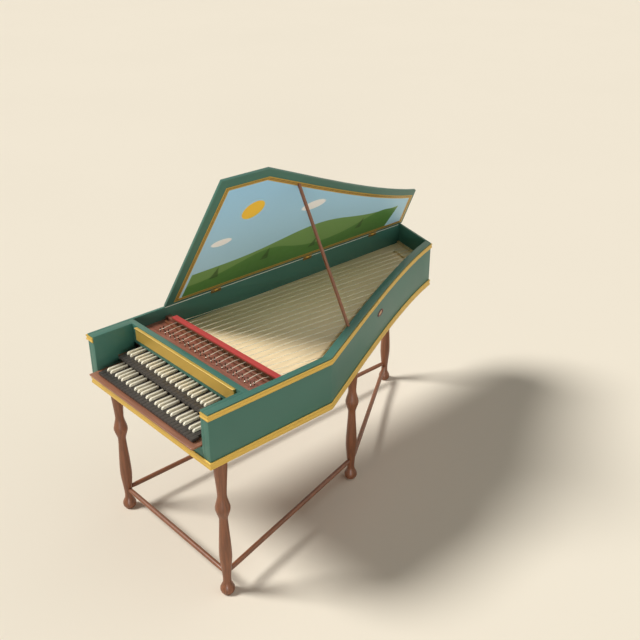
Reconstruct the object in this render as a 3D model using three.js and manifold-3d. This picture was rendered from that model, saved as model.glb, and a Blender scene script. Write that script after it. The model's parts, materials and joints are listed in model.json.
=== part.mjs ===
// A two-manual harpsichord on a turned stand, lid open on its stick.
// Millimetres. X runs from the spine to the cheek, Y from the keyboards to the
// tail, Z up from the floor. The finished group is moved so that its origin is
// the middle of its footprint, on the floor.
import * as THREE from 'three';
import { mergeVertices } from 'three/addons/utils/BufferGeometryUtils.js';
import Module from 'manifold-3d';

// Case
const caseWidth = 910;
const spineLength = 2065.6;
const cheekLength = 655.4;
const tailWidth = 334.5;
const tailSkew = 104.5;
const caseUnderside = 730.5;
const wallRise = 59.5;
const bottomThickness = 12;
const spineThickness = 14;
const cheekThickness = 33;
const bentsideThickness = 40;
const tailThickness = 13;
const bentsideSteps = 14;

// Clearances shared by the whole instrument
const fit = 0.3;
const overrun = 5;
const bedding = 0.5;
const weld = 1e-4;

// Keyboard well
const bassBlockWidth = 37.5;
const trebleBlockWidth = 18.5;
const keyBlockDepth = 201;
const frontBeamDepth = 28;
const frontBeamHeight = 76.5;
const nameboardMargin = 40.5;
const nameboardTrebleMargin = 32;
const nameboardThickness = 15;
const nameboardRise = 10;
const nameboardDrop = 2.5;
const nameboardBead = 5;
const trayRise = 85.5;
const trayThickness = 8;
const trayOverhang = 43;
const trayEndGap = 12;
const frontRailThickness = 16;

// Keys, jacks and registers
const octaves = 4.5;
const keyboardMargin = 41.9;
const keyGap = 1.1;
const sharpWidth = 9.6;
const naturalHead = 34;
const sharpSetback = 0.8;
const sharpLength = 88;
const upperSharpLength = 83;
const leverHeight = 11;
const upperLeverHeight = 14;
const sharpRise = 12;
const lowerKeyFront = -18;
const upperKeyFront = 90;
const lowerKeyClear = 6.5;
const manualStep = 11.5;
const upperFrameThickness = 12;
const upperKeyClear = 7;
const balanceRailWidth = 12;
const backRailWidth = 16;
const lowerBalance = 230;
const upperBalance = 290;
const backRailSetback = 18;
const tailClearance = 1.5;
const jackThickness = 4;
const jackDepth = 10;
const jackReach = 8.5;
const jackClear = 6.5;
const jackCloth = 0.6;
const registerHeight = 16;
const registerClearance = 0.5;
const registerTravel = 2.5;
const slotClearance = 0.4;

// Wrestplank, strings and soundboard
const wrestplankGap = 1;
const wrestplankDepth = 174;
const wrestplankClear = 13;
const wrestplankThickness = 38;
const wrestBlockWidth = 35;
const trebleWrestBlockWidth = 16;
const gapWidth = 28;
const pinRadius = 2.4;
const pinHeight = 21;
const pinRowSpacing = 18;
const pinSetback = 72;
const nutHeight = 14;
const nutWidth = 8;
const nutSetback = 20;
const stringWidth = 1.5;
const keysPerString = 3;
const bellyRailThickness = 15;
const soundboardThickness = 3.5;
const soundboardDrop = 55.5;
const linerWidth = 16;
const linerHeight = 22;
const bridgeHeight = 13;
const bridgeWidth = 11;
const bridgeDistance = 78;
const bridgeTailDistance = 95;
const hitchRailHeight = 11.5;
const hitchRailWidth = 15;
const jackrailDepth = 28;
const jackrailHeight = 14;
const jackrailStart = 72;
const coverThickness = 3;
const railBlockOverlap = 20;
const trebleRailBlockWidth = 33;
const braceThickness = 18;
const braceHeight = 70;
const bottomBracePlaceShares = [0.4648, 0.6875];
const keybedBracePlace = 310;

// Mouldings
const mouldingProud = 7;
const topMouldingHeight = 25.5;
const topMouldingDrop = 5.5;
const topMouldingSetback = 5;
const baseMouldingHeight = 32;
const baseMouldingLift = 1.5;

// Lid, hinges and prop stick
const lidOpen = 55.66;
const lidThickness = 12;
const lidRest = 2;
const lidOverhang = 12;
const lidTailOverhang = 8;
const lidFront = 406;
const hingeRadius = 2.4;
const hingeDrop = 3.8;
const hingeGap = 0.4;
const hingeLength = 60;
const hingeSheet = 1.4;
const hingeCaseLeaf = 12;
const hingeLidLeaf = 11;
const hingePinRadius = 1;
const hingePlaceShares = [0.1814, 0.5495, 0.8508];
const lidEdgeGap = 0.4;
const frameSpineInset = 37;
const frameFront = 450;
const frameCheekInset = 43;
const frameBentInset = 27;
const frameTailInset = 5;
const frameWidth = 22;
const frameThickness = 0.9;
const paintingThickness = 0.6;
const stickWidth = 12.5;
const stickFoot = 915;
const stickFootInset = 6;
const stickHeadShift = 12;

// Stand
const legRadius = 33.5;
const legInset = 52;
const legFrontInset = 80;
const tailLegInset = 142.5;
const bentLegAcrossShare = 0.6945;
const bentLegAlongShare = 0.5141;
const legSides = 14;
const stretcherRadius = 12;
const frontStretcherHeight = 110;
const stretcherHeight = 114;
const roundelRadius = 16.5;
const roundelHeight = 9;
const roundelY = 1265;
const roundelDrop = 97.5;

// Worked-out levels, stacked from the underside of the case to its rim
const bottomTop = caseUnderside + bottomThickness;
const trayTop = caseUnderside + trayRise;
const lowerLeverBottom = trayTop + lowerKeyClear;
const lowerLeverTop = lowerLeverBottom + leverHeight;
const upperFrameBottom = lowerLeverTop + manualStep;
const upperFrameTop = upperFrameBottom + upperFrameThickness;
const upperLeverBottom = upperFrameTop + upperKeyClear;
const upperLeverTop = upperLeverBottom + upperLeverHeight;
const wrestplankBottom = upperLeverTop + wrestplankClear;
const wrestplankTop = wrestplankBottom + wrestplankThickness;
const jackTop = wrestplankTop + jackReach;
const jackrailBottom = jackTop + jackClear;
const caseTop = wrestplankTop + wallRise;
const soundboardTop = wrestplankTop - soundboardDrop;

// Worked-out places
const spineInner = spineThickness;
const cheekInner = caseWidth - cheekThickness;
const wellLeft = spineInner + bassBlockWidth;
const wellRight = cheekInner - trebleBlockWidth;
const wrestplankFront = keyBlockDepth + frontBeamDepth + wrestplankGap;
const wrestplankBack = wrestplankFront + wrestplankDepth;
const bellyFront = wrestplankBack + gapWidth;
const soundboardBottom = soundboardTop - soundboardThickness;
const nutTop = wrestplankTop + nutHeight;
const lidUnderside = caseTop + lidRest;
const hingeX = spineInner + hingeRadius + hingeGap;
const hingeZ = lidUnderside - hingeDrop;
const hingePlaces = hingePlaceShares.map((share) => lidFront + share * (spineLength - lidFront));
const bottomBracePlaces = bottomBracePlaceShares.map((share) => share * spineLength);
const roundelZ = caseTop - roundelDrop;

const wasm = await Module();
wasm.setup();

// Finishes
function finish(colour, roughness, metalness = 0) {
  return new THREE.MeshStandardMaterial({ color: colour, roughness, metalness });
}
const greenPaint = () => finish(0x2f6a55, 0.55);
const gilt = () => finish(0xd0a032, 0.38, 0.55);
const walnut = () => finish(0x7d4f3a, 0.5);
const oak = () => finish(0x8a5a44, 0.6);
const spruce = () => finish(0xd9c48e, 0.6);
const ebony = () => finish(0x2b2a2c, 0.35);
const bone = () => finish(0xe6dec6, 0.35);
const brass = () => finish(0xc9a24a, 0.3, 0.9);
const redCloth = () => finish(0xc23a3a, 0.8);

const harpsichord = new THREE.Group();

function place(parent, name, geometry, material) {
  const mesh = new THREE.Mesh(geometry, material);
  mesh.name = name;
  parent.add(mesh);
  return mesh;
}

// Solids joined and cut
function solidOf(geometry) {
  const bare = geometry.index ? geometry.toNonIndexed() : geometry.clone();
  bare.deleteAttribute('normal');
  bare.deleteAttribute('uv');
  const merged = mergeVertices(bare, weld);
  return new wasm.Manifold(new wasm.Mesh({
    numProp: 3,
    vertProperties: new Float32Array(merged.attributes.position.array),
    triVerts: new Uint32Array(merged.index.array),
  }));
}

function geometryOf(solid) {
  const mesh = solid.getMesh();
  const geometry = new THREE.BufferGeometry();
  geometry.setAttribute('position', new THREE.BufferAttribute(mesh.vertProperties, 3));
  geometry.setIndex(new THREE.BufferAttribute(mesh.triVerts, 1));
  geometry.computeVertexNormals();
  return geometry;
}

function join(geometries) {
  return geometryOf(wasm.Manifold.union(geometries.map(solidOf)));
}

function cut(geometry, tools) {
  return geometryOf(solidOf(geometry).subtract(wasm.Manifold.union(tools.map(solidOf))));
}

// A box between two corners
function block(x0, x1, y0, y1, z0, z1) {
  const box = new THREE.BoxGeometry(x1 - x0, y1 - y0, z1 - z0);
  box.translate((x0 + x1) / 2, (y0 + y1) / 2, (z0 + z1) / 2);
  return box;
}

// A board with the given plan between two levels
function board(points, z0, z1) {
  const slab = new THREE.ExtrudeGeometry(new THREE.Shape(points), { depth: z1 - z0, bevelEnabled: false });
  slab.translate(0, 0, z0);
  return slab;
}

// A bar with the given side view (y, z) between two x places
function sideBar(points, x0, x1) {
  const bar = new THREE.ExtrudeGeometry(new THREE.Shape(points), { depth: x1 - x0, bevelEnabled: false });
  bar.applyMatrix4(new THREE.Matrix4().makeBasis(
    new THREE.Vector3(0, 1, 0), new THREE.Vector3(0, 0, 1), new THREE.Vector3(1, 0, 0)));
  bar.translate(x0, 0, 0);
  return bar;
}

// A solid skinned over rings of points, capped at both ends or closed on itself
function loft(rings, closed = false) {
  const sides = rings[0].length;
  const positions = rings.flat().flatMap((p) => [p.x, p.y, p.z]);
  const index = [];
  const spans = closed ? rings.length : rings.length - 1;
  for (let i = 0; i < spans; i += 1) {
    const next = (i + 1) % rings.length;
    for (let j = 0; j < sides; j += 1) {
      const k = (j + 1) % sides;
      index.push(i * sides + j, i * sides + k, next * sides + k);
      index.push(i * sides + j, next * sides + k, next * sides + j);
    }
  }
  if (!closed) {
    const flat = capPlan(rings[0]);
    const last = (rings.length - 1) * sides;
    for (const [a, b, c] of THREE.ShapeUtils.triangulateShape(flat, [])) {
      index.push(a, c, b);
      index.push(last + a, last + b, last + c);
    }
  }
  const geometry = new THREE.BufferGeometry();
  geometry.setAttribute('position', new THREE.Float32BufferAttribute(positions, 3));
  geometry.setIndex(index);
  if (signedVolume(geometry) < 0) {
    for (let t = 0; t < index.length; t += 3) {
      [index[t + 1], index[t + 2]] = [index[t + 2], index[t + 1]];
    }
    geometry.setIndex(index);
  }
  geometry.computeVertexNormals();
  return geometry;
}

// The end ring laid flat for filling in
function capPlan(ring) {
  const normal = new THREE.Vector3();
  for (let i = 0; i < ring.length; i += 1) {
    normal.add(new THREE.Vector3().crossVectors(ring[i], ring[(i + 1) % ring.length]));
  }
  normal.normalize();
  const u = new THREE.Vector3().subVectors(ring[1], ring[0]).normalize();
  const v = new THREE.Vector3().crossVectors(normal, u);
  return ring.map((p) => new THREE.Vector2(p.dot(u), p.dot(v)));
}

function signedVolume(geometry) {
  const p = geometry.attributes.position;
  const [a, b, c] = [new THREE.Vector3(), new THREE.Vector3(), new THREE.Vector3()];
  let volume = 0;
  for (let t = 0; t < geometry.index.count; t += 3) {
    a.fromBufferAttribute(p, geometry.index.getX(t));
    b.fromBufferAttribute(p, geometry.index.getX(t + 1));
    c.fromBufferAttribute(p, geometry.index.getX(t + 2));
    volume += a.dot(b.cross(c));
  }
  return volume;
}

// Plan of the case. The bentside is one slow curve from cheek to tail.
const bentsideControlShares = [[0.79, 0.193], [0.183, 0.711]];
const cheekEnd = new THREE.Vector2(caseWidth, cheekLength);
const tailEnd = new THREE.Vector2(tailWidth, spineLength - tailSkew);
const spineEnd = new THREE.Vector2(0, spineLength);
const bentsideControls = bentsideControlShares.map(([across, along]) => new THREE.Vector2(
  tailEnd.x + across * (cheekEnd.x - tailEnd.x),
  cheekEnd.y + along * (tailEnd.y - cheekEnd.y)));
const bentsideCurve = new THREE.CubicBezierCurve(
  cheekEnd, bentsideControls[0], bentsideControls[1], tailEnd);

// Left-hand normal of a direction: inwards, going from cheek to tail to spine
function leftOf(from, to) {
  const along = new THREE.Vector2().subVectors(to, from).normalize();
  return new THREE.Vector2(-along.y, along.x);
}

function crossing(p, q, a, b) {
  const r = new THREE.Vector2().subVectors(q, p);
  const s = new THREE.Vector2().subVectors(b, a);
  const t = new THREE.Vector2().subVectors(a, p).cross(s) / r.cross(s);
  return new THREE.Vector2(p.x + t * r.x, p.y + t * r.y);
}

// The plan drawn in by its own amount on each side, negative for outwards.
// It gives the bentside's points, the corner at the spine and the straight sides.
function plan({ spine = 0, cheek = 0, bentside = 0, tail = 0 }) {
  const curve = [];
  for (let i = 0; i <= bentsideSteps; i += 1) {
    const point = bentsideCurve.getPoint(i / bentsideSteps);
    const tangent = bentsideCurve.getTangent(i / bentsideSteps);
    curve.push(new THREE.Vector2(point.x - tangent.y * bentside, point.y + tangent.x * bentside));
  }
  const cheekX = caseWidth - cheek;
  const tailNormal = leftOf(tailEnd, spineEnd);
  const tailA = tailEnd.clone().addScaledVector(tailNormal, tail);
  const tailB = spineEnd.clone().addScaledVector(tailNormal, tail);
  const cheekA = new THREE.Vector2(cheekX, 0);
  const cheekB = new THREE.Vector2(cheekX, cheekLength);
  const cheekCorner = crossing(curve[0], curve[1], cheekA, cheekB);
  const tailCorner = crossing(curve[bentsideSteps - 1], curve[bentsideSteps], tailA, tailB);
  const bent = [cheekCorner, ...trimmed(curve, cheekX, tailA, tailB), tailCorner];
  const spineA = new THREE.Vector2(spine, 0);
  const spineB = new THREE.Vector2(spine, spineLength);
  const spineCorner = crossing(tailA, tailB, spineA, spineB);
  return { bent, spineCorner, cheekX, spineX: spine };
}

function side(p, a, b) {
  return new THREE.Vector2().subVectors(b, a).cross(new THREE.Vector2().subVectors(p, a));
}

// Curve points that lie inside both corners
function trimmed(curve, cheekX, tailA, tailB) {
  const between = curve.slice(1, -1);
  return between.filter((p) => p.x < cheekX - fit && side(p, tailA, tailB) > 0);
}

// Closed outline from the front edge round by cheek, bentside, tail and spine
function outline(insets, frontY) {
  const p = plan(insets);
  return [
    new THREE.Vector2(p.spineX, frontY), new THREE.Vector2(p.cheekX, frontY),
    ...p.bent, p.spineCorner,
  ];
}

// Where a line at one x meets the curved and the tail side of a plan
function reachAt(x, insets) {
  const p = plan(insets);
  const path = [...p.bent, p.spineCorner];
  for (let i = 0; i < path.length - 1; i += 1) {
    if ((path[i].x - x) * (path[i + 1].x - x) <= 0) {
      const t = (x - path[i].x) / (path[i + 1].x - path[i].x);
      return path[i].y + t * (path[i + 1].y - path[i].y);
    }
  }
  return p.spineCorner.y;
}

// How far across the case a curved side stands at one place along it
function acrossAt(bent, y) {
  return bent.reduce((best, p, n, all) => {
    if (n === 0) return best;
    const q = all[n - 1];
    const hit = (q.y - y) * (p.y - y) <= 0;
    return hit ? q.x + (p.x - q.x) * (y - q.y) / (p.y - q.y) : best;
  }, bent[bent.length - 1].x);
}

// Mitred run of a profile (outwards, z) along a path with its outside on the right
function run(path, profile, closed = false) {
  const rings = path.map((point, i) => {
    const before = closed ? path[(i + path.length - 1) % path.length] : path[Math.max(i - 1, 0)];
    const after = closed ? path[(i + 1) % path.length] : path[Math.min(i + 1, path.length - 1)];
    const first = i === 0 && !closed ? leftOf(point, after) : leftOf(before, point);
    const second = i === path.length - 1 && !closed ? first : leftOf(point, after);
    const mitre = new THREE.Vector2().addVectors(first, second);
    mitre.multiplyScalar(-2 / mitre.lengthSq());
    return profile.map(([out, z]) => new THREE.Vector3(point.x + mitre.x * out, point.y + mitre.y * out, z));
  });
  return loft(rings, closed);
}

// Case walls, mitred at the three corners
const outside = plan({});
const insets = {
  spine: spineThickness, cheek: cheekThickness, bentside: bentsideThickness, tail: tailThickness,
};
const inside = plan(insets);
const seated = {
  spine: spineThickness + fit,
  cheek: cheekThickness + fit,
  bentside: bentsideThickness + fit,
  tail: tailThickness + fit,
};
const tailOuter = outside.bent[outside.bent.length - 1];
const tailInner = inside.bent[inside.bent.length - 1];

place(harpsichord, 'bottom_board', board(outline({}, 0), caseUnderside, bottomTop), oak());
place(harpsichord, 'cheek', board([
  new THREE.Vector2(caseWidth, 0), outside.bent[0], inside.bent[0], new THREE.Vector2(cheekInner, 0),
], bottomTop, caseTop), greenPaint());
place(harpsichord, 'bentside', board(
  [...outside.bent, ...[...inside.bent].reverse()], bottomTop, caseTop), greenPaint());
place(harpsichord, 'tail', board(
  [tailOuter, outside.spineCorner, inside.spineCorner, tailInner], bottomTop, caseTop), greenPaint());

// The spine carries the fixed leaves, knuckles and pins of the three lid hinges
function tube(radius, y0, y1, x, z) {
  const rod = new THREE.CylinderGeometry(radius, radius, y1 - y0, 8);
  rod.translate(x, (y0 + y1) / 2, z);
  return rod;
}
const knuckleLength = hingeLength / 3;
const spineParts = [board([
  new THREE.Vector2(0, 0), new THREE.Vector2(spineInner, 0), inside.spineCorner, outside.spineCorner,
], bottomTop, caseTop)];
for (const y of hingePlaces) {
  const start = y - hingeLength / 2;
  const end = y + hingeLength / 2;
  const leafTop = hingeZ - hingeRadius - 2 * fit;
  const leafBottom = hingeZ - hingeCaseLeaf;
  spineParts.push(block(spineInner - bedding, spineInner + hingeSheet, start, end, leafBottom, leafTop));
  for (const y0 of [start, end - knuckleLength + fit]) {
    const y1 = y0 + knuckleLength - fit;
    spineParts.push(tube(hingeRadius, y0, y1, hingeX, hingeZ));
    spineParts.push(block(spineInner - bedding, hingeX, y0, y1, leafTop - bedding, hingeZ));
  }
  spineParts.push(tube(hingePinRadius, start + bedding, end - bedding, hingeX, hingeZ));
}
place(harpsichord, 'spine', join(spineParts), greenPaint());

// Inside of the case: braces, belly rail, liner and soundboard
place(harpsichord, 'front_rail', block(
  wellLeft, wellRight, 0, frontRailThickness, bottomTop, trayTop - trayThickness), greenPaint());
place(harpsichord, 'keybed_brace', block(
  spineInner + wrestBlockWidth + fit, cheekInner - trebleWrestBlockWidth - fit,
  keybedBracePlace, keybedBracePlace + braceThickness, bottomTop, trayTop - trayThickness), oak());
place(harpsichord, 'belly_rail', block(
  spineInner, cheekInner, bellyFront, bellyFront + bellyRailThickness, bottomTop, soundboardBottom), oak());
bottomBracePlaces.forEach((y, i) => {
  const reach = acrossAt(inside.bent, y + braceThickness);
  place(harpsichord, `bottom_brace_${i + 1}`, block(
    spineInner, reach - fit, y, y + braceThickness, bottomTop, bottomTop + braceHeight), oak());
});
const linerIn = {
  spine: seated.spine + linerWidth,
  cheek: seated.cheek + linerWidth,
  bentside: seated.bentside + linerWidth,
  tail: seated.tail + linerWidth,
};
const linerFront = bellyFront + bellyRailThickness + fit;
place(harpsichord, 'soundboard_liner', board([
  ...outline(seated, linerFront).slice(1), new THREE.Vector2(seated.spine, linerFront),
  new THREE.Vector2(linerIn.spine, linerFront),
  ...outline(linerIn, linerFront).slice(1).reverse(),
], soundboardBottom - linerHeight, soundboardBottom), oak());
place(harpsichord, 'soundboard', board(
  outline(seated, bellyFront), soundboardBottom, soundboardTop), spruce());

// Key blocks, beam, nameboard and key tray
place(harpsichord, 'bass_key_block', block(
  spineInner, wellLeft, 0, keyBlockDepth, bottomTop, caseTop), greenPaint());
place(harpsichord, 'treble_key_block', block(
  wellRight, cheekInner, 0, keyBlockDepth, bottomTop, caseTop), greenPaint());
const beamBottom = caseTop - frontBeamHeight;
place(harpsichord, 'front_beam', block(
  spineInner, cheekInner, keyBlockDepth, keyBlockDepth + frontBeamDepth, beamBottom, caseTop), greenPaint());
const nameboardBack = keyBlockDepth - fit;
const nameboardFront = nameboardBack - nameboardThickness;
const nameboardBottom = beamBottom + nameboardRise;
const nameboardTop = caseTop - nameboardDrop;
place(harpsichord, 'nameboard', sideBar([
  new THREE.Vector2(nameboardFront + nameboardBead, nameboardBottom),
  new THREE.Vector2(nameboardBack, nameboardBottom),
  new THREE.Vector2(nameboardBack, nameboardTop),
  new THREE.Vector2(nameboardFront, nameboardTop),
  new THREE.Vector2(nameboardFront, nameboardTop - nameboardBead),
  new THREE.Vector2(nameboardFront + nameboardBead, nameboardTop - 2 * nameboardBead),
], wellLeft + nameboardMargin, wellRight - nameboardTrebleMargin), gilt());
place(harpsichord, 'key_tray', block(
  wellLeft + fit, wellRight - trayEndGap, -trayOverhang, bellyFront - fit,
  trayTop - trayThickness, trayTop), walnut());

// Mouldings round the outside of the case
const topMouldingTop = caseTop - topMouldingDrop;
const topMouldingShares = [
  [0, 0], [0.6, 0], [1, 0.14], [1, 0.3], [0.62, 0.42], [0.62, 0.66], [1, 0.8], [1, 1], [0, 1],
];
const topMoulding = topMouldingShares.map(([out, up]) => [
  fit + out * (mouldingProud - fit), topMouldingTop - topMouldingHeight + up * topMouldingHeight]);
const aroundCase = [
  new THREE.Vector2(wellRight + topMouldingSetback, 0), new THREE.Vector2(caseWidth, 0), ...outside.bent,
  outside.spineCorner, new THREE.Vector2(0, 0), new THREE.Vector2(wellLeft - topMouldingSetback, 0),
];
place(harpsichord, 'top_moulding', run(aroundCase, topMoulding), gilt());
const baseMouldingBottom = caseUnderside + baseMouldingLift;
const baseMouldingShares = [
  [0, 0], [1, 0], [1, 0.28], [0.66, 0.4], [0.66, 0.62], [1, 0.74], [1, 0.86], [0.6, 1], [0, 1],
];
const baseMoulding = baseMouldingShares.map(([out, up]) => [
  fit + out * (mouldingProud - fit), baseMouldingBottom + up * baseMouldingHeight]);
const roundCase = [
  new THREE.Vector2(caseWidth, 0), ...outside.bent, outside.spineCorner, new THREE.Vector2(0, 0),
];
place(harpsichord, 'base_moulding', run(roundCase, baseMoulding, true), gilt());

// The keys of one octave: five levers from C to E, seven from F to B
const keyboardSpan = wellRight - wellLeft - 2 * keyboardMargin;
const octaveSpan = keyboardSpan / (octaves + 1 / 14);
const keyboardLeft = wellLeft + keyboardMargin;
const naturalPitch = octaveSpan / 7;
const lowGroup = 3 * naturalPitch;
const sharpSemitones = [1, 3, 6, 8, 10];
const keys = [];
for (let octave = 0; octave < octaves; octave += 1) {
  for (let semitone = 0; semitone < 12; semitone += 1) {
    if (octave + 1 > octaves && semitone > 5) {
      continue;
    }
    const start = keyboardLeft + octave * octaveSpan;
    const low = semitone < 5;
    const pitch = low ? lowGroup / 5 : (octaveSpan - lowGroup) / 7;
    const left = low ? start + semitone * pitch : start + lowGroup + (semitone - 5) * pitch;
    const natural = [0, 2, 4, 5, 7, 9, 11].indexOf(semitone);
    keys.push({
      sharp: sharpSemitones.includes(semitone),
      left,
      right: left + pitch,
      middle: left + pitch / 2,
      headLeft: start + natural * naturalPitch,
      headRight: start + (natural + 1) * naturalPitch,
    });
  }
}

// A manual's measures: where its keys start, balance and end
const upperTail = wrestplankBack + registerClearance + (gapWidth - 3 * registerClearance) / 2;
const lowerManual = {
  front: lowerKeyFront,
  balance: lowerBalance,
  tail: bellyFront - tailClearance,
  bottom: lowerLeverBottom,
  top: lowerLeverTop,
  sharpLength,
};
const upperManual = {
  front: upperKeyFront,
  balance: upperBalance,
  tail: upperTail,
  bottom: upperLeverBottom,
  top: upperLeverTop,
  sharpLength: upperSharpLength,
};

function naturalPlan(key, manual) {
  const half = keyGap / 2;
  const neck = manual.front + naturalHead;
  const points = [
    [key.headLeft + half, manual.front], [key.headRight - half, manual.front],
    [key.headRight - half, neck], [key.right - half, neck],
    [key.right - half, manual.tail], [key.left + half, manual.tail],
    [key.left + half, neck], [key.headLeft + half, neck],
  ];
  const kept = points.filter(([x, y], i) => {
    const [px, py] = points[(i + points.length - 1) % points.length];
    return Math.abs(x - px) + Math.abs(y - py) > keyGap / 100;
  });
  return kept.map(([x, y]) => new THREE.Vector2(x, y));
}

function naturalKey(key, manual, bottom) {
  return board(naturalPlan(key, manual), bottom, manual.top);
}

// A sharp: its lever starts behind the natural's head, with the raised top on it
const sharpNoseShares = [[0, 0], [0.02, 0.55], [0.06, 0.86], [0.11, 1], [1, 1], [1, 0]];
function sharpKey(key, manual, bottom) {
  const half = keyGap / 2;
  const start = manual.front + naturalHead + sharpSetback;
  const lever = block(key.left + half, key.right - half, start, manual.tail, bottom, manual.top);
  const profile = sharpNoseShares.map(([along, up]) => new THREE.Vector2(
    start + along * manual.sharpLength, manual.top - bedding + up * (sharpRise + bedding)));
  const top = sideBar(profile, key.middle - sharpWidth / 2, key.middle + sharpWidth / 2);
  return join([lever, top]);
}

// Each manual: rails, fixed keys joined to the rail they bear on, and two free keys
const freeNatural = 28;
const freeSharp = 25;
function rail(manual, y0, y1, base, top) {
  return block(wellLeft + fit, wellRight - fit, y0, y1, base, top);
}
function buildManual(name, manual, base) {
  const balanceFront = manual.balance - balanceRailWidth / 2;
  const balanceBack = manual.balance + balanceRailWidth / 2;
  const backEnd = manual.tail - backRailSetback;
  const railTop = manual.bottom - fit;
  const naturals = keys.filter((key, i) => !key.sharp && i !== freeNatural);
  const sharps = keys.filter((key, i) => key.sharp && i !== freeSharp);
  place(harpsichord, `${name}_naturals`, join([
    rail(manual, balanceFront, balanceBack, base, railTop),
    ...naturals.map((key) => naturalKey(key, manual, manual.bottom)),
    ...naturals.map((key) => block(
      key.left + keyGap, key.right - keyGap, balanceFront + fit, balanceBack - fit,
      railTop - bedding, manual.bottom + bedding)),
  ]), ebony());
  place(harpsichord, `${name}_sharps`, join([
    rail(manual, backEnd - backRailWidth, backEnd, base, railTop),
    ...sharps.map((key) => sharpKey(key, manual, manual.bottom)),
    ...sharps.map((key) => block(
      key.left + keyGap, key.right - keyGap, backEnd - backRailWidth + fit, backEnd - fit,
      railTop - bedding, manual.bottom + bedding)),
  ]), bone());
  place(harpsichord, `${name}_free_natural`, naturalKey(keys[freeNatural], manual, manual.bottom), ebony());
  place(harpsichord, `${name}_free_sharp`, sharpKey(keys[freeSharp], manual, manual.bottom), bone());
}
buildManual('lower', lowerManual, trayTop);
place(harpsichord, 'upper_key_frame', block(
  wellLeft + fit, wellRight - fit, upperKeyFront + naturalHead - upperFrameThickness,
  upperManual.tail, upperFrameBottom, upperFrameTop), walnut());
buildManual('upper', upperManual, upperFrameTop);

// Registers with their jacks. Two jacks of each row stand free over the free keys.
const registerBottom = wrestplankBottom + fit;
const registerTop = registerBottom + registerHeight;
const registerDepth = (gapWidth - 3 * registerClearance) / 2;
const upperRow = wrestplankBack + registerClearance + registerDepth / 2;
const lowerRow = upperRow + registerDepth + registerClearance;
function jack(key, row, manual) {
  return block(
    key.middle - jackThickness / 2, key.middle + jackThickness / 2,
    row - jackDepth / 2, row + jackDepth / 2, manual.top + jackCloth, jackTop);
}
function buildRegister(name, row, manual) {
  const bar = block(
    spineInner + registerTravel + fit, cheekInner - registerTravel - fit,
    row - registerDepth / 2, row + registerDepth / 2, registerBottom, registerTop);
  const free = [freeNatural, freeSharp];
  const slots = free.map((i) => block(
    keys[i].middle - jackThickness / 2 - slotClearance, keys[i].middle + jackThickness / 2 + slotClearance,
    row - jackDepth / 2 - slotClearance, row + jackDepth / 2 + slotClearance,
    registerBottom - overrun, registerTop + overrun));
  const fixed = keys.filter((key, i) => !free.includes(i));
  const slotted = cut(bar, slots);
  place(harpsichord, `${name}_register`, join([
    slotted, ...fixed.map((key) => jack(key, row, manual)),
  ]), oak());
  place(harpsichord, `${name}_natural_jack`, jack(keys[freeNatural], row, manual), walnut());
  place(harpsichord, `${name}_sharp_jack`, jack(keys[freeSharp], row, manual), walnut());
}
buildRegister('upper', upperRow, upperManual);
buildRegister('lower', lowerRow, lowerManual);

// Wrestplank on its blocks, with the tuning pins driven into it
place(harpsichord, 'bass_wrest_block', block(
  spineInner, spineInner + wrestBlockWidth, wrestplankFront, bellyFront - fit,
  bottomTop, wrestplankBottom), oak());
place(harpsichord, 'treble_wrest_block', block(
  cheekInner - trebleWrestBlockWidth, cheekInner, wrestplankFront, bellyFront - fit,
  bottomTop, wrestplankBottom), oak());
const stringXs = [];
for (let i = 0; i + 1 < keys.length; i += keysPerString) {
  stringXs.push(keys[i].right);
}
const backPinRow = wrestplankBack - pinSetback;
const frontPinRow = backPinRow - pinRowSpacing;
function pin(x, y) {
  const peg = new THREE.CylinderGeometry(pinRadius, pinRadius, pinHeight + bedding, 6);
  peg.rotateX(Math.PI / 2);
  peg.translate(x, y, wrestplankTop + (pinHeight - bedding) / 2);
  return peg;
}
const pins = stringXs.flatMap((x) => [pin(x, frontPinRow), pin(x, backPinRow)]);
place(harpsichord, 'wrestplank', join([
  block(spineInner, cheekInner, wrestplankFront, wrestplankBack, wrestplankBottom, wrestplankTop), ...pins,
]), walnut());

// Nut with the strings that bear on it, run over the bridge to the hitchpin rail
const nutY = wrestplankBack - nutSetback - nutWidth / 2;
const hitchInsets = {
  spine: seated.spine,
  cheek: seated.cheek,
  bentside: seated.bentside + hitchRailWidth / 2,
  tail: seated.tail + hitchRailWidth / 2,
};
const bridgeInsets = {
  spine: seated.spine,
  cheek: seated.cheek,
  bentside: seated.bentside + bridgeDistance,
  tail: seated.tail + bridgeTailDistance,
};
const bridgeTop = soundboardTop + bridgeHeight;
const hitchTop = soundboardTop + hitchRailHeight;
function string(x) {
  const half = stringWidth / 2;
  const route = [
    [backPinRow + pinRadius + fit, wrestplankTop + pinHeight / 2],
    [nutY, nutTop],
    [reachAt(x, bridgeInsets), bridgeTop + fit + half],
    [reachAt(x, hitchInsets), hitchTop + fit + half],
  ];
  return loft(route.map(([y, z]) => [
    new THREE.Vector3(x - half, y, z - half), new THREE.Vector3(x + half, y, z - half),
    new THREE.Vector3(x + half, y, z + half), new THREE.Vector3(x - half, y, z + half),
  ]));
}
place(harpsichord, 'nut_and_strings', join([
  block(wellLeft, wellRight, nutY - nutWidth / 2, nutY + nutWidth / 2, wrestplankTop, nutTop),
  ...stringXs.map(string),
]), walnut());

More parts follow.
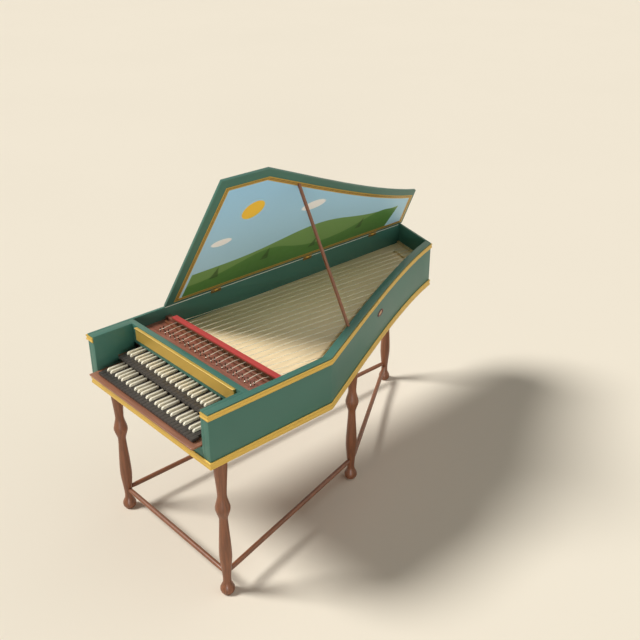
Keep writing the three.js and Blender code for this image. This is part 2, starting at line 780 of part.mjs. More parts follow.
// Bridge: along the bentside, then hooked across to the bass
const bridgePlan = plan(bridgeInsets);
const bridgeStart = stringXs[stringXs.length - 1] + bridgeWidth;
const bridgeEnd = stringXs[0] - bridgeWidth;
const bridgePath = [
  new THREE.Vector2(bridgeStart, reachAt(bridgeStart, bridgeInsets)),
  ...bridgePlan.bent.filter((p) => p.x < bridgeStart - bridgeWidth),
  new THREE.Vector2(bridgeEnd, reachAt(bridgeEnd, bridgeInsets)),
];
const bridgeShares = [[-0.5, 0], [0.5, 0], [0.5, 0.6], [0.25, 1], [-0.25, 1], [-0.5, 0.6]];
place(harpsichord, 'bridge', run(bridgePath, bridgeShares.map(([out, up]) => [
  out * bridgeWidth, soundboardTop + up * bridgeHeight])), walnut());

// Hitchpin rail: a moulding against the bentside and tail
const hitchPlan = plan(seated);
const hitchPath = [...hitchPlan.bent, hitchPlan.spineCorner];
const hitchShares = [[0, 0], [1, 0], [1, 0.55], [0.75, 1], [0, 1]];
const hitchRail = run(hitchPath, hitchShares.map(([across, up]) => [
  -across * hitchRailWidth, soundboardTop + up * hitchRailHeight]));
place(harpsichord, 'hitchpin_rail', geometryOf(solidOf(hitchRail).intersect(
  solidOf(board(outline(seated, bellyFront), soundboardBottom, caseTop)))), walnut());

// Jackrail over the jacks, seated on a block at each end
const railFront = wrestplankBack;
const railBack = railFront + jackrailDepth;
const blockBottom = registerTop + registerClearance;
place(harpsichord, 'bass_rail_block', block(
  spineInner, jackrailStart + railBlockOverlap, railFront + fit, railBack - fit,
  blockBottom, jackrailBottom), greenPaint());
place(harpsichord, 'treble_rail_block', block(
  cheekInner - trebleRailBlockWidth, cheekInner, railFront + fit, railBack - fit,
  blockBottom, jackrailBottom), greenPaint());
place(harpsichord, 'jackrail', block(
  jackrailStart, cheekInner - fit, railFront, railBack,
  jackrailBottom, jackrailBottom + jackrailHeight), walnut());
place(harpsichord, 'jackrail_cover', block(
  jackrailStart, cheekInner - fit, railFront, railBack,
  jackrailBottom + jackrailHeight, jackrailBottom + jackrailHeight + coverThickness), redCloth());

// Lid: turned open about its hinge line, drawn here as if closed
const lid = new THREE.Group();
lid.position.set(hingeX, 0, hingeZ);
lid.rotation.y = -THREE.MathUtils.degToRad(lidOpen);
harpsichord.add(lid);
function lidBoard(insetsOfBoard, frontY, z0, z1) {
  const points = outline(insetsOfBoard, frontY).map((p) => new THREE.Vector2(p.x - hingeX, p.y));
  return board(points, z0, z1);
}
place(lid, 'lid', lidBoard(
  { spine: hingeX + lidEdgeGap, cheek: -lidOverhang, bentside: -lidOverhang, tail: -lidTailOverhang },
  lidFront, hingeDrop, hingeDrop + lidThickness), greenPaint());
const frameInsets = {
  spine: frameSpineInset, cheek: frameCheekInset, bentside: frameBentInset, tail: frameTailInset,
};
const openingInsets = Object.fromEntries(
  Object.entries(frameInsets).map(([name, inset]) => [name, inset + frameWidth]));
const paintingInsets = Object.fromEntries(
  Object.entries(openingInsets).map(([name, inset]) => [name, inset + fit]));
place(lid, 'lid_frame', cut(
  lidBoard(frameInsets, frameFront, hingeDrop - fit - frameThickness, hingeDrop - fit),
  [lidBoard(openingInsets, frameFront + frameWidth, hingeDrop - overrun, hingeDrop + overrun)]), gilt());
place(lid, 'lid_painting', lidBoard(
  paintingInsets, frameFront + frameWidth + fit,
  hingeDrop - fit - paintingThickness, hingeDrop - fit), finish(0x8fae5a, 0.6));

// Moving leaves of the hinges
hingePlaces.forEach((y, i) => {
  const start = y - hingeLength / 2;
  const end = y + hingeLength / 2;
  const leafTop = hingeDrop - fit;
  const leafStart = hingeRadius + fit;
  const knuckleStart = start + knuckleLength + fit;
  const knuckleEnd = end - knuckleLength - fit;
  const knuckle = cut(
    join([
      tube(hingeRadius, knuckleStart, knuckleEnd, 0, 0),
      block(hingeRadius / 4, leafStart + bedding, knuckleStart, knuckleEnd, 0, leafTop),
    ]),
    [tube(hingePinRadius + fit, start, end, 0, 0)]);
  place(lid, `lid_hinge_leaf_${i + 1}`, join([
    knuckle,
    block(leafStart, hingeLidLeaf, start, end, leafTop - hingeSheet, leafTop),
  ]), brass());
});

// Prop stick: level at its foot, and cut to lie on the frame of the lid at its head
const openAngle = THREE.MathUtils.degToRad(lidOpen);
const lidAlong = new THREE.Vector3(Math.cos(openAngle), 0, Math.sin(openAngle));
const lidDown = new THREE.Vector3(Math.sin(openAngle), 0, -Math.cos(openAngle));
const headFace = new THREE.Vector3(hingeX, 0, hingeZ)
  .addScaledVector(lidDown, -(hingeDrop - 3 * fit - frameThickness));
const frameMiddle = Object.fromEntries(
  Object.entries(frameInsets).map(([name, inset]) => [name, inset + frameWidth / 2]));
const headY = stickFoot - stickHeadShift;
const head = headFace.clone().addScaledVector(lidAlong, acrossAt(plan(frameMiddle).bent, headY) - hingeX);
head.y = headY;
const foot = new THREE.Vector3(
  acrossAt(inside.bent, stickFoot) + stickFootInset, stickFoot, caseTop + fit);
const stickAlong = new THREE.Vector3().subVectors(head, foot).normalize();
const stickSide = new THREE.Vector3(0, 1, 0).cross(stickAlong).normalize();
const stickOther = new THREE.Vector3().crossVectors(stickAlong, stickSide);
const stickCorners = [[-0.5, -0.5], [0.5, -0.5], [0.5, 0.5], [-0.5, 0.5]];
const stickRing = (point, normal) => stickCorners.map(([a, b]) => {
  const corner = point.clone()
    .addScaledVector(stickSide, a * stickWidth)
    .addScaledVector(stickOther, b * stickWidth);
  const slip = new THREE.Vector3().subVectors(point, corner).dot(normal) / stickAlong.dot(normal);
  return corner.addScaledVector(stickAlong, slip);
});
place(harpsichord, 'prop_stick', loft([
  stickRing(foot, new THREE.Vector3(0, 0, 1)), stickRing(head, lidDown),
]), walnut());

// Turned rosette on the bentside
const roundelSpot = outside.bent.reduce((best, p, n, all) => {
  if (n === 0) return best;
  const q = all[n - 1];
  const t = (roundelY - q.y) / (p.y - q.y);
  return t >= 0 && t <= 1 ? { point: q.clone().lerp(p, t), normal: leftOf(q, p).negate() } : best;
}, { point: tailEnd, normal: new THREE.Vector2(1, 0) });
const roundelShares = [[0, 0], [1, 0], [1, 0.3], [0.86, 0.5], [0.72, 0.5], [0.6, 0.78], [0.34, 1], [0, 1]];
const roundel = new THREE.LatheGeometry(
  roundelShares.map(([r, h]) => new THREE.Vector2(r * roundelRadius, fit + h * roundelHeight)), 20);
roundel.applyQuaternion(new THREE.Quaternion().setFromUnitVectors(
  new THREE.Vector3(0, 1, 0), new THREE.Vector3(roundelSpot.normal.x, roundelSpot.normal.y, 0)));
roundel.translate(roundelSpot.point.x, roundelSpot.point.y, roundelZ);
place(harpsichord, 'roundel', roundel, walnut());

// Stand: four turned legs and four round stretchers
const legShares = [
  [0, 0], [0.62, 0], [0.86, 0.01], [1, 0.03], [0.93, 0.052], [0.62, 0.08], [0.54, 0.107], [0.6, 0.15],
  [0.73, 0.215], [0.86, 0.281], [0.83, 0.34], [0.7, 0.45], [0.57, 0.561], [0.78, 0.598], [1, 0.641],
  [0.8, 0.684], [0.61, 0.723], [0.65, 0.77], [0.78, 0.85], [0.9, 0.925], [0.96, 1], [0, 1],
];
function turnedLeg() {
  const leg = new THREE.LatheGeometry(
    legShares.map(([r, h]) => new THREE.Vector2(r * legRadius, h * caseUnderside)), legSides);
  leg.rotateX(Math.PI / 2);
  return leg;
}
const legPlaces = {
  front_left_leg: new THREE.Vector2(legInset, legFrontInset),
  front_right_leg: new THREE.Vector2(caseWidth - legInset, legFrontInset),
  bentside_leg: new THREE.Vector2(bentLegAcrossShare * caseWidth, bentLegAlongShare * spineLength),
  tail_leg: new THREE.Vector2(legInset, spineLength - tailLegInset),
};
for (const [name, spot] of Object.entries(legPlaces)) {
  place(harpsichord, name, turnedLeg(), walnut()).position.set(spot.x, spot.y, 0);
}
function legRadiusAt(z) {
  for (let i = 1; i < legShares.length - 1; i += 1) {
    const [r0, h0] = legShares[i - 1];
    const [r1, h1] = legShares[i];
    const h = z / caseUnderside;
    if (h1 > h0 && h >= h0 && h <= h1) {
      return legRadius * (r0 + (r1 - r0) * (h - h0) / (h1 - h0));
    }
  }
  return legRadius;
}
function stretcher(name, from, to, height) {
  const start = legPlaces[from];
  const end = legPlaces[to];
  const widest = Math.max(legRadiusAt(height - stretcherRadius), legRadiusAt(height + stretcherRadius));
  const shorten = widest + fit;
  const length = start.distanceTo(end) - 2 * shorten;
  const rod = new THREE.CylinderGeometry(stretcherRadius, stretcherRadius, length, 10);
  const mesh = place(harpsichord, name, rod, walnut());
  mesh.position.set((start.x + end.x) / 2, (start.y + end.y) / 2, height);
  mesh.rotation.z = Math.atan2(end.y - start.y, end.x - start.x) - Math.PI / 2;
}
stretcher('front_stretcher', 'front_left_leg', 'front_right_leg', frontStretcherHeight);
stretcher('spine_stretcher', 'front_left_leg', 'tail_leg', stretcherHeight);
stretcher('cheek_stretcher', 'front_right_leg', 'bentside_leg', stretcherHeight);
const lowStretcherHeight = stretcherHeight - 2 * (stretcherRadius + fit);
stretcher('bentside_stretcher', 'bentside_leg', 'tail_leg', lowStretcherHeight);

// Origin at the middle of the footprint, on the floor
harpsichord.updateMatrixWorld(true);
const extent = new THREE.Box3().setFromObject(harpsichord, true);
const middle = extent.getCenter(new THREE.Vector3());
harpsichord.position.set(-middle.x, -middle.y, -extent.min.z);
harpsichord.updateMatrixWorld(true);

export default harpsichord;
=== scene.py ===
"""Looks of a two-manual harpsichord on a turned stand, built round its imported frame.

Metres, +Z up, +Y along the strings, +X from the spine to the cheek.
"""
import json
import math

import bpy
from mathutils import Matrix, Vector

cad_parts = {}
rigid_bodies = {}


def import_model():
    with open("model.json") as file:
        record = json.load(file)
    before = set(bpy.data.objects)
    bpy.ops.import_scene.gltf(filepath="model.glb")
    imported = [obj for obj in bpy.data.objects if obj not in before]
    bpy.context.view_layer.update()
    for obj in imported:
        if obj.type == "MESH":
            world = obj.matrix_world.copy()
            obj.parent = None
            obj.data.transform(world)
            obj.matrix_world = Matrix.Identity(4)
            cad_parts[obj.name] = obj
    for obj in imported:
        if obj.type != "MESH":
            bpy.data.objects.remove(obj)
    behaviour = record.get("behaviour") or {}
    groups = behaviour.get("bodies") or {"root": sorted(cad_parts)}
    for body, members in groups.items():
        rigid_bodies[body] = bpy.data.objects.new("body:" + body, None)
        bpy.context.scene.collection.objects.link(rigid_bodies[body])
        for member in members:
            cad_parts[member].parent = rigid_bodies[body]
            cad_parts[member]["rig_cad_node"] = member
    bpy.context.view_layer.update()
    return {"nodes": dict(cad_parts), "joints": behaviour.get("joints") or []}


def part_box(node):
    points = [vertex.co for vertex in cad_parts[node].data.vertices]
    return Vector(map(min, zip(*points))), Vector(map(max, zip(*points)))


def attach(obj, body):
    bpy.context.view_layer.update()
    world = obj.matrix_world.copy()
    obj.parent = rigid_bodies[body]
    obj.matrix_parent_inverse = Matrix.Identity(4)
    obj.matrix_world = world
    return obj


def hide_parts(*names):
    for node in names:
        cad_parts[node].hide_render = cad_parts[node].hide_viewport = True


bl_info = {
    "name": "Harpsichord looks",
    "version": (1, 0, 0),
    "blender": (4, 5, 0),
    "location": "3D View > Sidebar > Harpsichord",
    "description": "Dresses the packed harpsichord with its turned, gilt and painted pieces",
    "category": "Object",
}

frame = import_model()

# Places read from the frame
SPINE_LOW, SPINE_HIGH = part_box("spine")
LEFT, FRONT, RIM = SPINE_LOW.x, SPINE_LOW.y, SPINE_HIGH.z
SPINE_INSIDE = LEFT + 0.014
PLANK_LOW, PLANK_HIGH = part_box("wrestplank")
NATURALS_LOW, NATURALS_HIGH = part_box("lower_naturals")
HINGE = next(joint for joint in frame["joints"] if joint["name"] == "lid_hinge")
HINGE_LINE = Vector((HINGE["pos_m"][0], 0, HINGE["pos_m"][2]))
LID_ANGLE = math.radians(55.66)
UP_THE_LID = Vector((math.cos(LID_ANGLE), 0, math.sin(LID_ANGLE)))
OUT_OF_LID = Vector((math.sin(LID_ANGLE), 0, -math.cos(LID_ANGLE)))

# Stringing: heights over the wrestplank, and rows across it
PIN_HEIGHT = 0.021
PLANK_TOP = PLANK_HIGH.z - PIN_HEIGHT
NUT_TOP = PLANK_TOP + 0.014
NUT_MIDDLE = PLANK_HIGH.y - 0.024
BACK_PINS = PLANK_HIGH.y - 0.072
FRONT_PINS = BACK_PINS - 0.018

# Keyboards: 54 keys, 32 of them naturals, on a rail that runs past them on both sides
KEYS = 54
OCTAVES = 4.5 + 1 / 14
RAIL_PAST_KEYS = 0.0416
KEY_FRONTS = (FRONT - 0.018, FRONT + 0.09)
SCRIBED_LINES = (0.0285, 0.0308)
HALF_SCRIBED_LINE = 0.00028

# The painting, up the lid from its hinges and along it from the front of the case
PICTURE_START, PICTURE_END = 0.488, 1.89
SUN_UP, SUN_ALONG, SUN_RADIUS = 0.628, 0.684, 0.063
# Each cloud's middle up and along, half its height and half its width
CLOUDS = (
    (0.432, 0.58, 0.028, 0.062),
    (0.51, 1.105, 0.036, 0.082),
)
# Each hill's middle, spread and height over the ground of its range
FAR_GROUND, FAR_HILLS = 0.225, ((1.24, 0.33, 0.1),)
NEAR_GROUND, NEAR_HILLS = 0.13, ((0.94, 0.22, 0.105), (1.76, 0.2, 0.11))
# Each tree's place along, top, height and half its width
TREES = (
    (0.645, 0.226, 0.1, 0.03),
    (0.95, 0.256, 0.11, 0.028),
    (1.29, 0.192, 0.085, 0.026),
    (1.62, 0.238, 0.105, 0.026),
)
OLD_VARNISH = (0.16, 0.12, 0.06, 1)
# Pale gold painted along edges as a highlight
HIGHLIGHT_GOLD = (1.0, 0.9, 0.52, 1)

# A leg from its foot up: shares of its largest radius and of its height
LEG_PROFILE = (
    (0.6, 0.0), (0.74, 0.003), (0.88, 0.012), (0.98, 0.026), (0.97, 0.041), (0.82, 0.058),
    (0.64, 0.074), (0.57, 0.088), (0.55, 0.107), (0.57, 0.13), (0.62, 0.16), (0.7, 0.2),
    (0.79, 0.24), (0.85, 0.278), (0.85, 0.3), (0.83, 0.34), (0.76, 0.4), (0.68, 0.46),
    (0.6, 0.52), (0.57, 0.556), (0.58, 0.568), (0.67, 0.583), (0.78, 0.598), (0.91, 0.618),
    (0.99, 0.634), (0.99, 0.648), (0.91, 0.664), (0.78, 0.688), (0.66, 0.71), (0.61, 0.726),
    (0.62, 0.745), (0.66, 0.78), (0.73, 0.825), (0.8, 0.865), (0.87, 0.91), (0.93, 0.955),
    (0.96, 1.0),
)

# Stage
FLOOR_RADIUS = 60
CAMERA_PLACE = (LEFT + 3.3148, FRONT - 1.6283, 2.8632)
CAMERA_DOWN, CAMERA_ROUND = 0.4718, 0.8264
LENS, SENSOR = 50, 36


# Sizes and colours that a user would change


def colour_of(code):
    """A six-figure screen colour as linear values."""
    parts = [int(code[i:i + 2], 16) / 255 for i in (0, 2, 4)]
    linear = [p / 12.92 if p <= 0.04045 else ((p + 0.055) / 1.055) ** 2.4 for p in parts]
    return (*linear, 1.0)


def length(name, description, default):
    """A size in metres."""
    return bpy.props.FloatProperty(
        name=name, description=description, default=default, min=0, max=10,
        unit="LENGTH", precision=4)


def colour(name, description, code):
    """A colour with its alpha."""
    return bpy.props.FloatVectorProperty(
        name=name, description=description, default=colour_of(code), size=4, min=0, max=1,
        subtype="COLOR")


def brightness(name, description, default):
    """The strength of a lamp or of the sky."""
    return bpy.props.FloatProperty(name=name, description=description, default=default, min=0)


class CaseSettings(bpy.types.PropertyGroup):
    edge: length("Edge", "Rounding along the edges of the boards", 0.0011)
    paint: colour("Paint", "Green paint of the case", "3B6C5E")
    bare: colour("Rubbed edge", "What shows where the paint is rubbed", "6E8E78")
    gilding: colour("Gilding", "Gold of the mouldings, nameboard and lid frame", "DAB658")
    gilding_ground: colour("Gilding ground", "Red-brown ground under the gold", "94622B")
    inside: colour("Plain wood", "Unpainted wood inside the case", "8C5E42")
    block_dark: colour("Block grain", "Dark grain of the blocks under the jackrail", "5A3226")
    # Painted highlight: the pale strip under the spine's rim stands for its lit edge
    rim_highlight: colour("Rim line", "Pale line along the inner rim of the spine", "E8F0DE")
    fixed_leaf: colour("Fixed leaves", "Dull brass of the hinge leaves on the spine", "8E7440")
    ring: colour("Roundel ring", "Dark red wood of the roundel's ring", "6E2A24")
    ring_dark: colour("Ring grain", "Dark grain of the roundel's ring", "421814")
    boss: colour("Roundel boss", "Pale wood in the middle of the roundel", "DCA878")
    boss_dark: colour("Boss grain", "Dark grain in the middle of the roundel", "A06C48")


class KeySettings(bpy.types.PropertyGroup):
    edge: length("Key edge", "Rounding along the edges of the keys", 0.0005)
    dark: colour("Naturals", "Near-black wood of the naturals", "37322F")
    pale: colour("Sharps", "Pale plates of the sharps", "EAE4D0")
    tray: colour("Tray", "Wood of the tray under the keys", "A36C50")
    tray_dark: colour("Tray grain", "Dark grain of the tray", "7E503A")


class StringSettings(bpy.types.PropertyGroup):
    wire: length("Wire", "Radius of a string", 0.0008)
    apart: length("Apart", "How far the two strings of a pair lie from their middle", 0.0009)
    pin: length("Pin", "Radius of a tuning pin", 0.0024)
    metal: colour("String metal", "Colour of the strings", "FFF6E0")
    steel: colour("Pin metal", "Colour of the tuning pins", "6A5A52")
    plank: colour("Wrestplank", "Wood of the wrestplank", "A5654F")
    board: colour("Soundboard", "Wood of the soundboard", "FFE5BA")
    bridge: colour("Bridge", "Wood of the bridge", "F6DAA4")
    bridge_dark: colour("Bridge grain", "Dark grain of the bridge", "D2B27E")
    hitch: colour("Hitchpin rail", "Wood of the hitchpin rail", "F2D6A0")
    hitch_dark: colour("Hitchpin rail grain", "Dark grain of the hitchpin rail", "CCAC78")
    jack: colour("Jacks", "Wood of the jacks and registers", "A8805A")
    jack_dark: colour("Jack grain", "Dark grain of the jacks and registers", "6C4A32")
    cloth: colour("Cloth", "Red cloth on the jackrail", "C84640")


class LidSettings(bpy.types.PropertyGroup):
    sky_high: colour("High sky", "Sky far from the hills", "A0D2F4")
    sky_low: colour("Low sky", "Sky over the hills", "B6DFF4")
    sun: colour("Sun", "Disc of the sun", "FCCB40")
    cloud: colour("Cloud", "Clouds", "FFFFFF")
    far_hill: colour("Far hill", "Lighter hills behind", "7BA45C")
    near_hill: colour("Near hill", "Darker hills in front", "54883E")
    tree: colour("Tree", "Slender trees", "28451C")
    brass: colour("Brass", "Hinges and screws", "D9B05A")
    line: colour("Frame line", "Brown line sunk in the lid frame", "8A5A2A")
    line_dark: colour("Frame line grain", "Dark grain of the line in the frame", "50301A")


class StandSettings(bpy.types.PropertyGroup):
    sides: bpy.props.IntProperty(
        name="Sides", description="Faces round a turned leg", default=48, min=16, max=96)
    leg: length("Leg", "Largest radius of a leg", 0.0335)
    stretcher: length("Stretcher", "Radius of a stretcher", 0.012)
    wood: colour("Stand wood", "Reddish-brown wood of legs and stretchers", "8E5636")
    wood_dark: colour("Grain", "Dark lines of the grain", "6A4028")


class StageSettings(bpy.types.PropertyGroup):
    floor: colour("Floor", "Pale floor and background", "F2E8D5")
    sun: brightness("Main lamp", "Strength of the main lamp", 3.08)
    fill: brightness("Fill lamp", "Strength of the fill lamp", 1.5)
    back: brightness("Back lamp", "Strength of the broad lamp behind", 0.83)
    sky: brightness("Sky", "Strength of the light all round", 0.05)
    mirrored: brightness("Mirrored sky", "Strength of the sky as polished surfaces show it", 0.9)


# Finishes


def shaded(tone, *shares):
    """A colour times one share, or times one each for its red, green and blue."""
    if len(shares) == 1:
        shares *= 3
    return [min(part * share, 1) for part, share in zip(tone, shares)] + [1]


def connect(tree, entry, item):
    """A link or a plain number into one socket."""
    if isinstance(item, Value):
        tree.links.new(item.socket, entry)
    else:
        entry.default_value = item


class Value:
    """What varies over a surface, written in sums like a plain number."""

    def __init__(self, tree, socket):
        self.tree, self.socket = tree, socket

    def worked(self, operation, *terms):
        node = self.tree.nodes.new("ShaderNodeMath")
        node.operation = operation
        for entry, term in zip(node.inputs, terms):
            connect(self.tree, entry, term)
        return Value(self.tree, node.outputs[0])

    def __add__(self, other):
        return self.worked("ADD", self, other)

    def __sub__(self, other):
        return self.worked("SUBTRACT", self, other)

    def __rsub__(self, other):
        return self.worked("SUBTRACT", other, self)

    def __mul__(self, other):
        return self.worked("MULTIPLY", self, other)

    def __truediv__(self, other):
        return self.worked("DIVIDE", self, other)

    def __gt__(self, other):
        return self.worked("GREATER_THAN", self, other)

    def __lt__(self, other):
        return self.worked("LESS_THAN", self, other)

    __radd__ = __add__
    __rmul__ = __mul__

    def size(self):
        return self.worked("ABSOLUTE", self)

    def held(self):
        """Kept from 0 to 1."""
        return self.worked("MINIMUM", self.worked("MAXIMUM", self, 0.0), 1.0)

    def wave(self):
        return self.worked("SINE", self)

    def hump(self, middle, width):
        """1 at its middle and falling smoothly to 0 on both sides."""
        across = (self - middle) / width
        spread = across * across * -1.0
        return spread.worked("EXPONENT", spread)

    def larger(self, other):
        return self.worked("MAXIMUM", self, other)


class Finish:
    """One material, put together node by node."""

    def __init__(self, name, roughness=0.5, metallic=0.0, coat=0.0):
        self.material = bpy.data.materials.new(name)
        self.material.use_nodes = True
        self.tree = self.material.node_tree
        self.shader = self.tree.nodes["Principled BSDF"]
        self.set("Roughness", roughness)
        self.set("Metallic", metallic)
        self.set("Coat Weight", coat)
        self.set("Coat Roughness", 0.2)

    def node(self, kind, settings=None, inputs=None, output=0):
        """A node with its settings made first and its sockets filled after."""
        made = self.tree.nodes.new(kind)
        for name, setting in (settings or {}).items():
            setattr(made, name, setting)
        for key, item in (inputs or {}).items():
            connect(self.tree, made.inputs[key], item)
        return Value(self.tree, made.outputs[output])

    def set(self, name, item):
        """A number or a pattern into one socket of the shader."""
        connect(self.tree, self.shader.inputs[name], item)

    def place(self, turn=(0, 0, 0), stretch=(1, 1, 1)):
        """Where a point lies on the piece, turned and then stretched for patterns."""
        spot = self.node("ShaderNodeTexCoord", output="Object")
        if turn == (0, 0, 0) and stretch == (1, 1, 1):
            return spot
        turned_spot = self.node("ShaderNodeMapping", None, {"Vector": spot, "Rotation": turn})
        return self.node("ShaderNodeMapping", None, {"Vector": turned_spot, "Scale": stretch})

    def axes(self):
        """Where a point lies along X, Y and Z."""
        split = self.tree.nodes.new("ShaderNodeSeparateXYZ")
        connect(self.tree, split.inputs[0], self.place())
        return [Value(self.tree, out) for out in split.outputs]

    def noise(self, spot, scale, detail=3.0, rough=0.55):
        return self.node("ShaderNodeTexNoise", None, {
            "Vector": spot, "Scale": scale, "Detail": detail, "Roughness": rough})

    def mix(self, first, second, share):
        """One colour into another; 0, 6 and 7 are the Mix node's factor and colours, 2 its result."""
        return self.node("ShaderNodeMix", {"data_type": "RGBA"}, {0: share, 6: first, 7: second}, 2)

    def plain(self, tone):
        """One colour, a little cloudy."""
        cloudy = self.noise(self.place(), 40)
        self.set("Base Color", self.mix(tone, shaded(tone, 0.8), cloudy))
        return self.material

    def bumps(self, height, depth=0.0003, strength=0.6):
        self.set("Normal", self.node("ShaderNodeBump", None, {
            "Strength": strength, "Distance": depth, "Height": height}))

    def edges(self, radius, gain=5.0):
        """1 at sharp edges and 0 on the flat."""
        eased = self.node("ShaderNodeBevel", {"samples": 4}, {"Radius": radius})
        flat = self.node("ShaderNodeNewGeometry", output="Normal")
        same = self.node("ShaderNodeVectorMath", {"operation": "DOT_PRODUCT"}, {0: eased, 1: flat}, "Value")
        return ((1.0 - same) * gain).held()


def painted_green(case, name="green_paint"):
    """Brushed oil paint, a little rubbed along its edges."""
    look = Finish(name, coat=0.12)
    cloudy = look.noise(look.place(), 3.2, 4)
    brush = look.noise(look.place(stretch=(60, 4, 60)), 6)
    chips = look.noise(look.place(), 90, 3, 0.7)
    shade = look.mix(shaded(case.paint, 0.84), shaded(case.paint, 1.12), cloudy)
    rubbed = look.edges(0.0016) * (chips > 0.52) * 0.55
    look.set("Base Color", look.mix(shade, case.bare, rubbed))
    look.set("Roughness", cloudy * 0.16 + brush * 0.1 + 0.36)
    look.bumps(brush * 0.7 + chips * 0.3, 0.0004, 0.25)
    return look.material


def gilt(case, name="gilding", metallic=0.35, edge_highlight=0.0):
    """Leaf over a red-brown ground, thin on the edges, and, when edge_highlight is given, with a painted
    highlight of pale gold along them.
    """
    look = Finish(name, metallic=metallic)
    leaf = look.noise(look.place(), 26, 4, 0.6)
    fine = look.noise(look.place(), 240)
    worn = (look.edges(0.0012) * 0.5 + (leaf - 0.62) * 2.2).held() * (fine > 0.5)
    warm = look.mix(shaded(case.gilding, 0.9, 0.86, 0.76), case.gilding, leaf)
    shade = look.mix(warm, case.gilding_ground, worn * (0.55 * (1 - edge_highlight)))
    # Painted highlight: pale gold mixed in along the edges
    if edge_highlight:
        shade = look.mix(shade, HIGHLIGHT_GOLD, look.edges(0.003, 6.0) * edge_highlight)
    look.set("Base Color", shade)
    look.set("Roughness", leaf * 0.22 + fine * 0.08 + 0.28)
    look.bumps(leaf * 0.6 + fine * 0.4, 0.00025, 0.35)
    return look.material


def wood(name, light, dark, axis="Y", pitch=1.0, roughness=0.42, coat=0.15, turn=(0, 0, 0)):
    """Grained wood whose fibres run along one axis of the piece."""
    look = Finish(name, coat=coat)
    along = {"X": (0.05, 1, 1), "Y": (1, 0.05, 1), "Z": (1, 1, 0.05)}[axis]
    spot = look.place(turn, along)
    figure = look.noise(spot, 34 * pitch, 4, 0.6)
    fibre = look.noise(spot, 420 * pitch, 2, 0.5)
    broad = look.noise(look.place(), 5, 2)
    lines = ((figure * 34.0).wave() * 0.5 + 0.5) * 0.4 + fibre * 0.38 + broad * 0.22
    grain = (lines - 0.12) * 1.25
    look.set("Base Color", look.mix(dark, light, grain.held()))
    look.set("Roughness", fibre * 0.18 + broad * 0.08 + roughness - 0.12)
    look.bumps(fibre * 0.6 + lines * 0.4, 0.0003, 0.3)
    return look.material


def spruce(strings):
    """Quarter-sawn board: close straight lines along the strings."""
    look = Finish("soundboard_wood", coat=0.2)
    drift = look.noise(look.place(stretch=(1, 0.12, 1)), 9, 2)
    rings = (look.axes()[0] * 1500.0 + drift * 26.0).wave() * 0.5 + 0.5
    fibre = look.noise(look.place(stretch=(1, 0.03, 1)), 500, 2)
    broad = look.noise(look.place(stretch=(1, 0.3, 1)), 6, 2)
    share = (rings * 0.3 + fibre * 0.25 + broad * 0.35 - 0.1).held()
    look.set("Base Color", look.mix(strings.board, shaded(strings.board, 0.84, 0.8, 0.72), share))
    look.set("Roughness", fibre * 0.12 + 0.42)
    look.bumps(fibre * 0.6 + rings * 0.4, 0.0002, 0.25)
    return look.material


def dark_wood(keys):
    """Near-black key plates with painted shade along their edges at the gaps, and two scribed lines near the
    heads.
    """
    look = Finish("dark_keys", coat=0.1)
    y = look.axes()[1]
    fibre = look.noise(look.place(stretch=(1, 0.05, 1)), 500)
    touch = look.noise(look.place(), 40)
    shade = look.mix(shaded(keys.dark, 0.7), shaded(keys.dark, 1.35), fibre)
    # Painted shade: the plates go nearly black along their edges, where the gaps between keys are shaded
    look.set("Base Color", look.mix(shade, shaded(keys.dark, 0.12), look.edges(0.0042, 9.0)))
    look.set("Roughness", touch * 0.22 + 0.34)
    scribed = 0.0
    for front in KEY_FRONTS:
        for back in SCRIBED_LINES:
            scribed = ((y - (front + back)).size() < HALF_SCRIBED_LINE) + scribed
    look.bumps(fibre * 0.12 - scribed, 0.0004, 0.7)
    return look.material


def pale_plate(keys):
    """Bone: faint pores along the key, a little yellower in places."""
    look = Finish("pale_keys", coat=0.3)
    pores = look.noise(look.place(stretch=(1, 0.1, 1)), 260, 2)
    age = look.noise(look.place(), 22)
    share = (age * 0.8 + (pores > 0.66) * 0.4 - 0.1).held()
    look.set("Base Color", look.mix(keys.pale, shaded(keys.pale, 0.95, 0.88, 0.72), share))
    look.set("Roughness", age * 0.2 + 0.26)
    look.bumps(pores, 0.00012, 0.3)
    return look.material


def metal(name, tone, roughness=0.3, wear=0.2, metallic=0.9):
    """Drawn or cast metal with fine scratches and dull patches."""
    look = Finish(name, metallic=metallic)
    dull = look.noise(look.place(), 60, 4)
    scratch = look.noise(look.place(stretch=(1, 0.08, 1)), 900, 2)
    look.set("Base Color", look.mix(tone, shaded(tone, 1 - 1.6 * wear), dull))
    look.set("Roughness", dull * wear + scratch * 0.1 + roughness - 0.1)
    look.bumps(scratch, 0.0001, 0.3)
    return look.material


def felt(strings):
    """Woven red cloth with a short nap."""
    look = Finish("red_cloth", roughness=0.9)
    x, y = look.axes()[:2]
    weave = (x * 5200.0).wave() * (y * 5200.0).wave() * 0.5 + 0.5
    nap = look.noise(look.place(), 700, 2)
    patch = look.noise(look.place(), 18)
    share = (patch * 0.5 + nap * 0.35 + weave * 0.25).held()
    look.set("Base Color", look.mix(shaded(strings.cloth, 0.62), strings.cloth, share))
    look.set("Roughness", nap * 0.12 + 0.82)
    look.bumps(weave * 0.5 + nap * 0.5, 0.0004, 0.6)
    return look.material


def skyline(along, ground, hills):
    """How high a range of hills stands at each place along the lid."""
    line = ground
    for middle, width, height in hills:
        line = along.hump(middle, width) * height + line
    return line


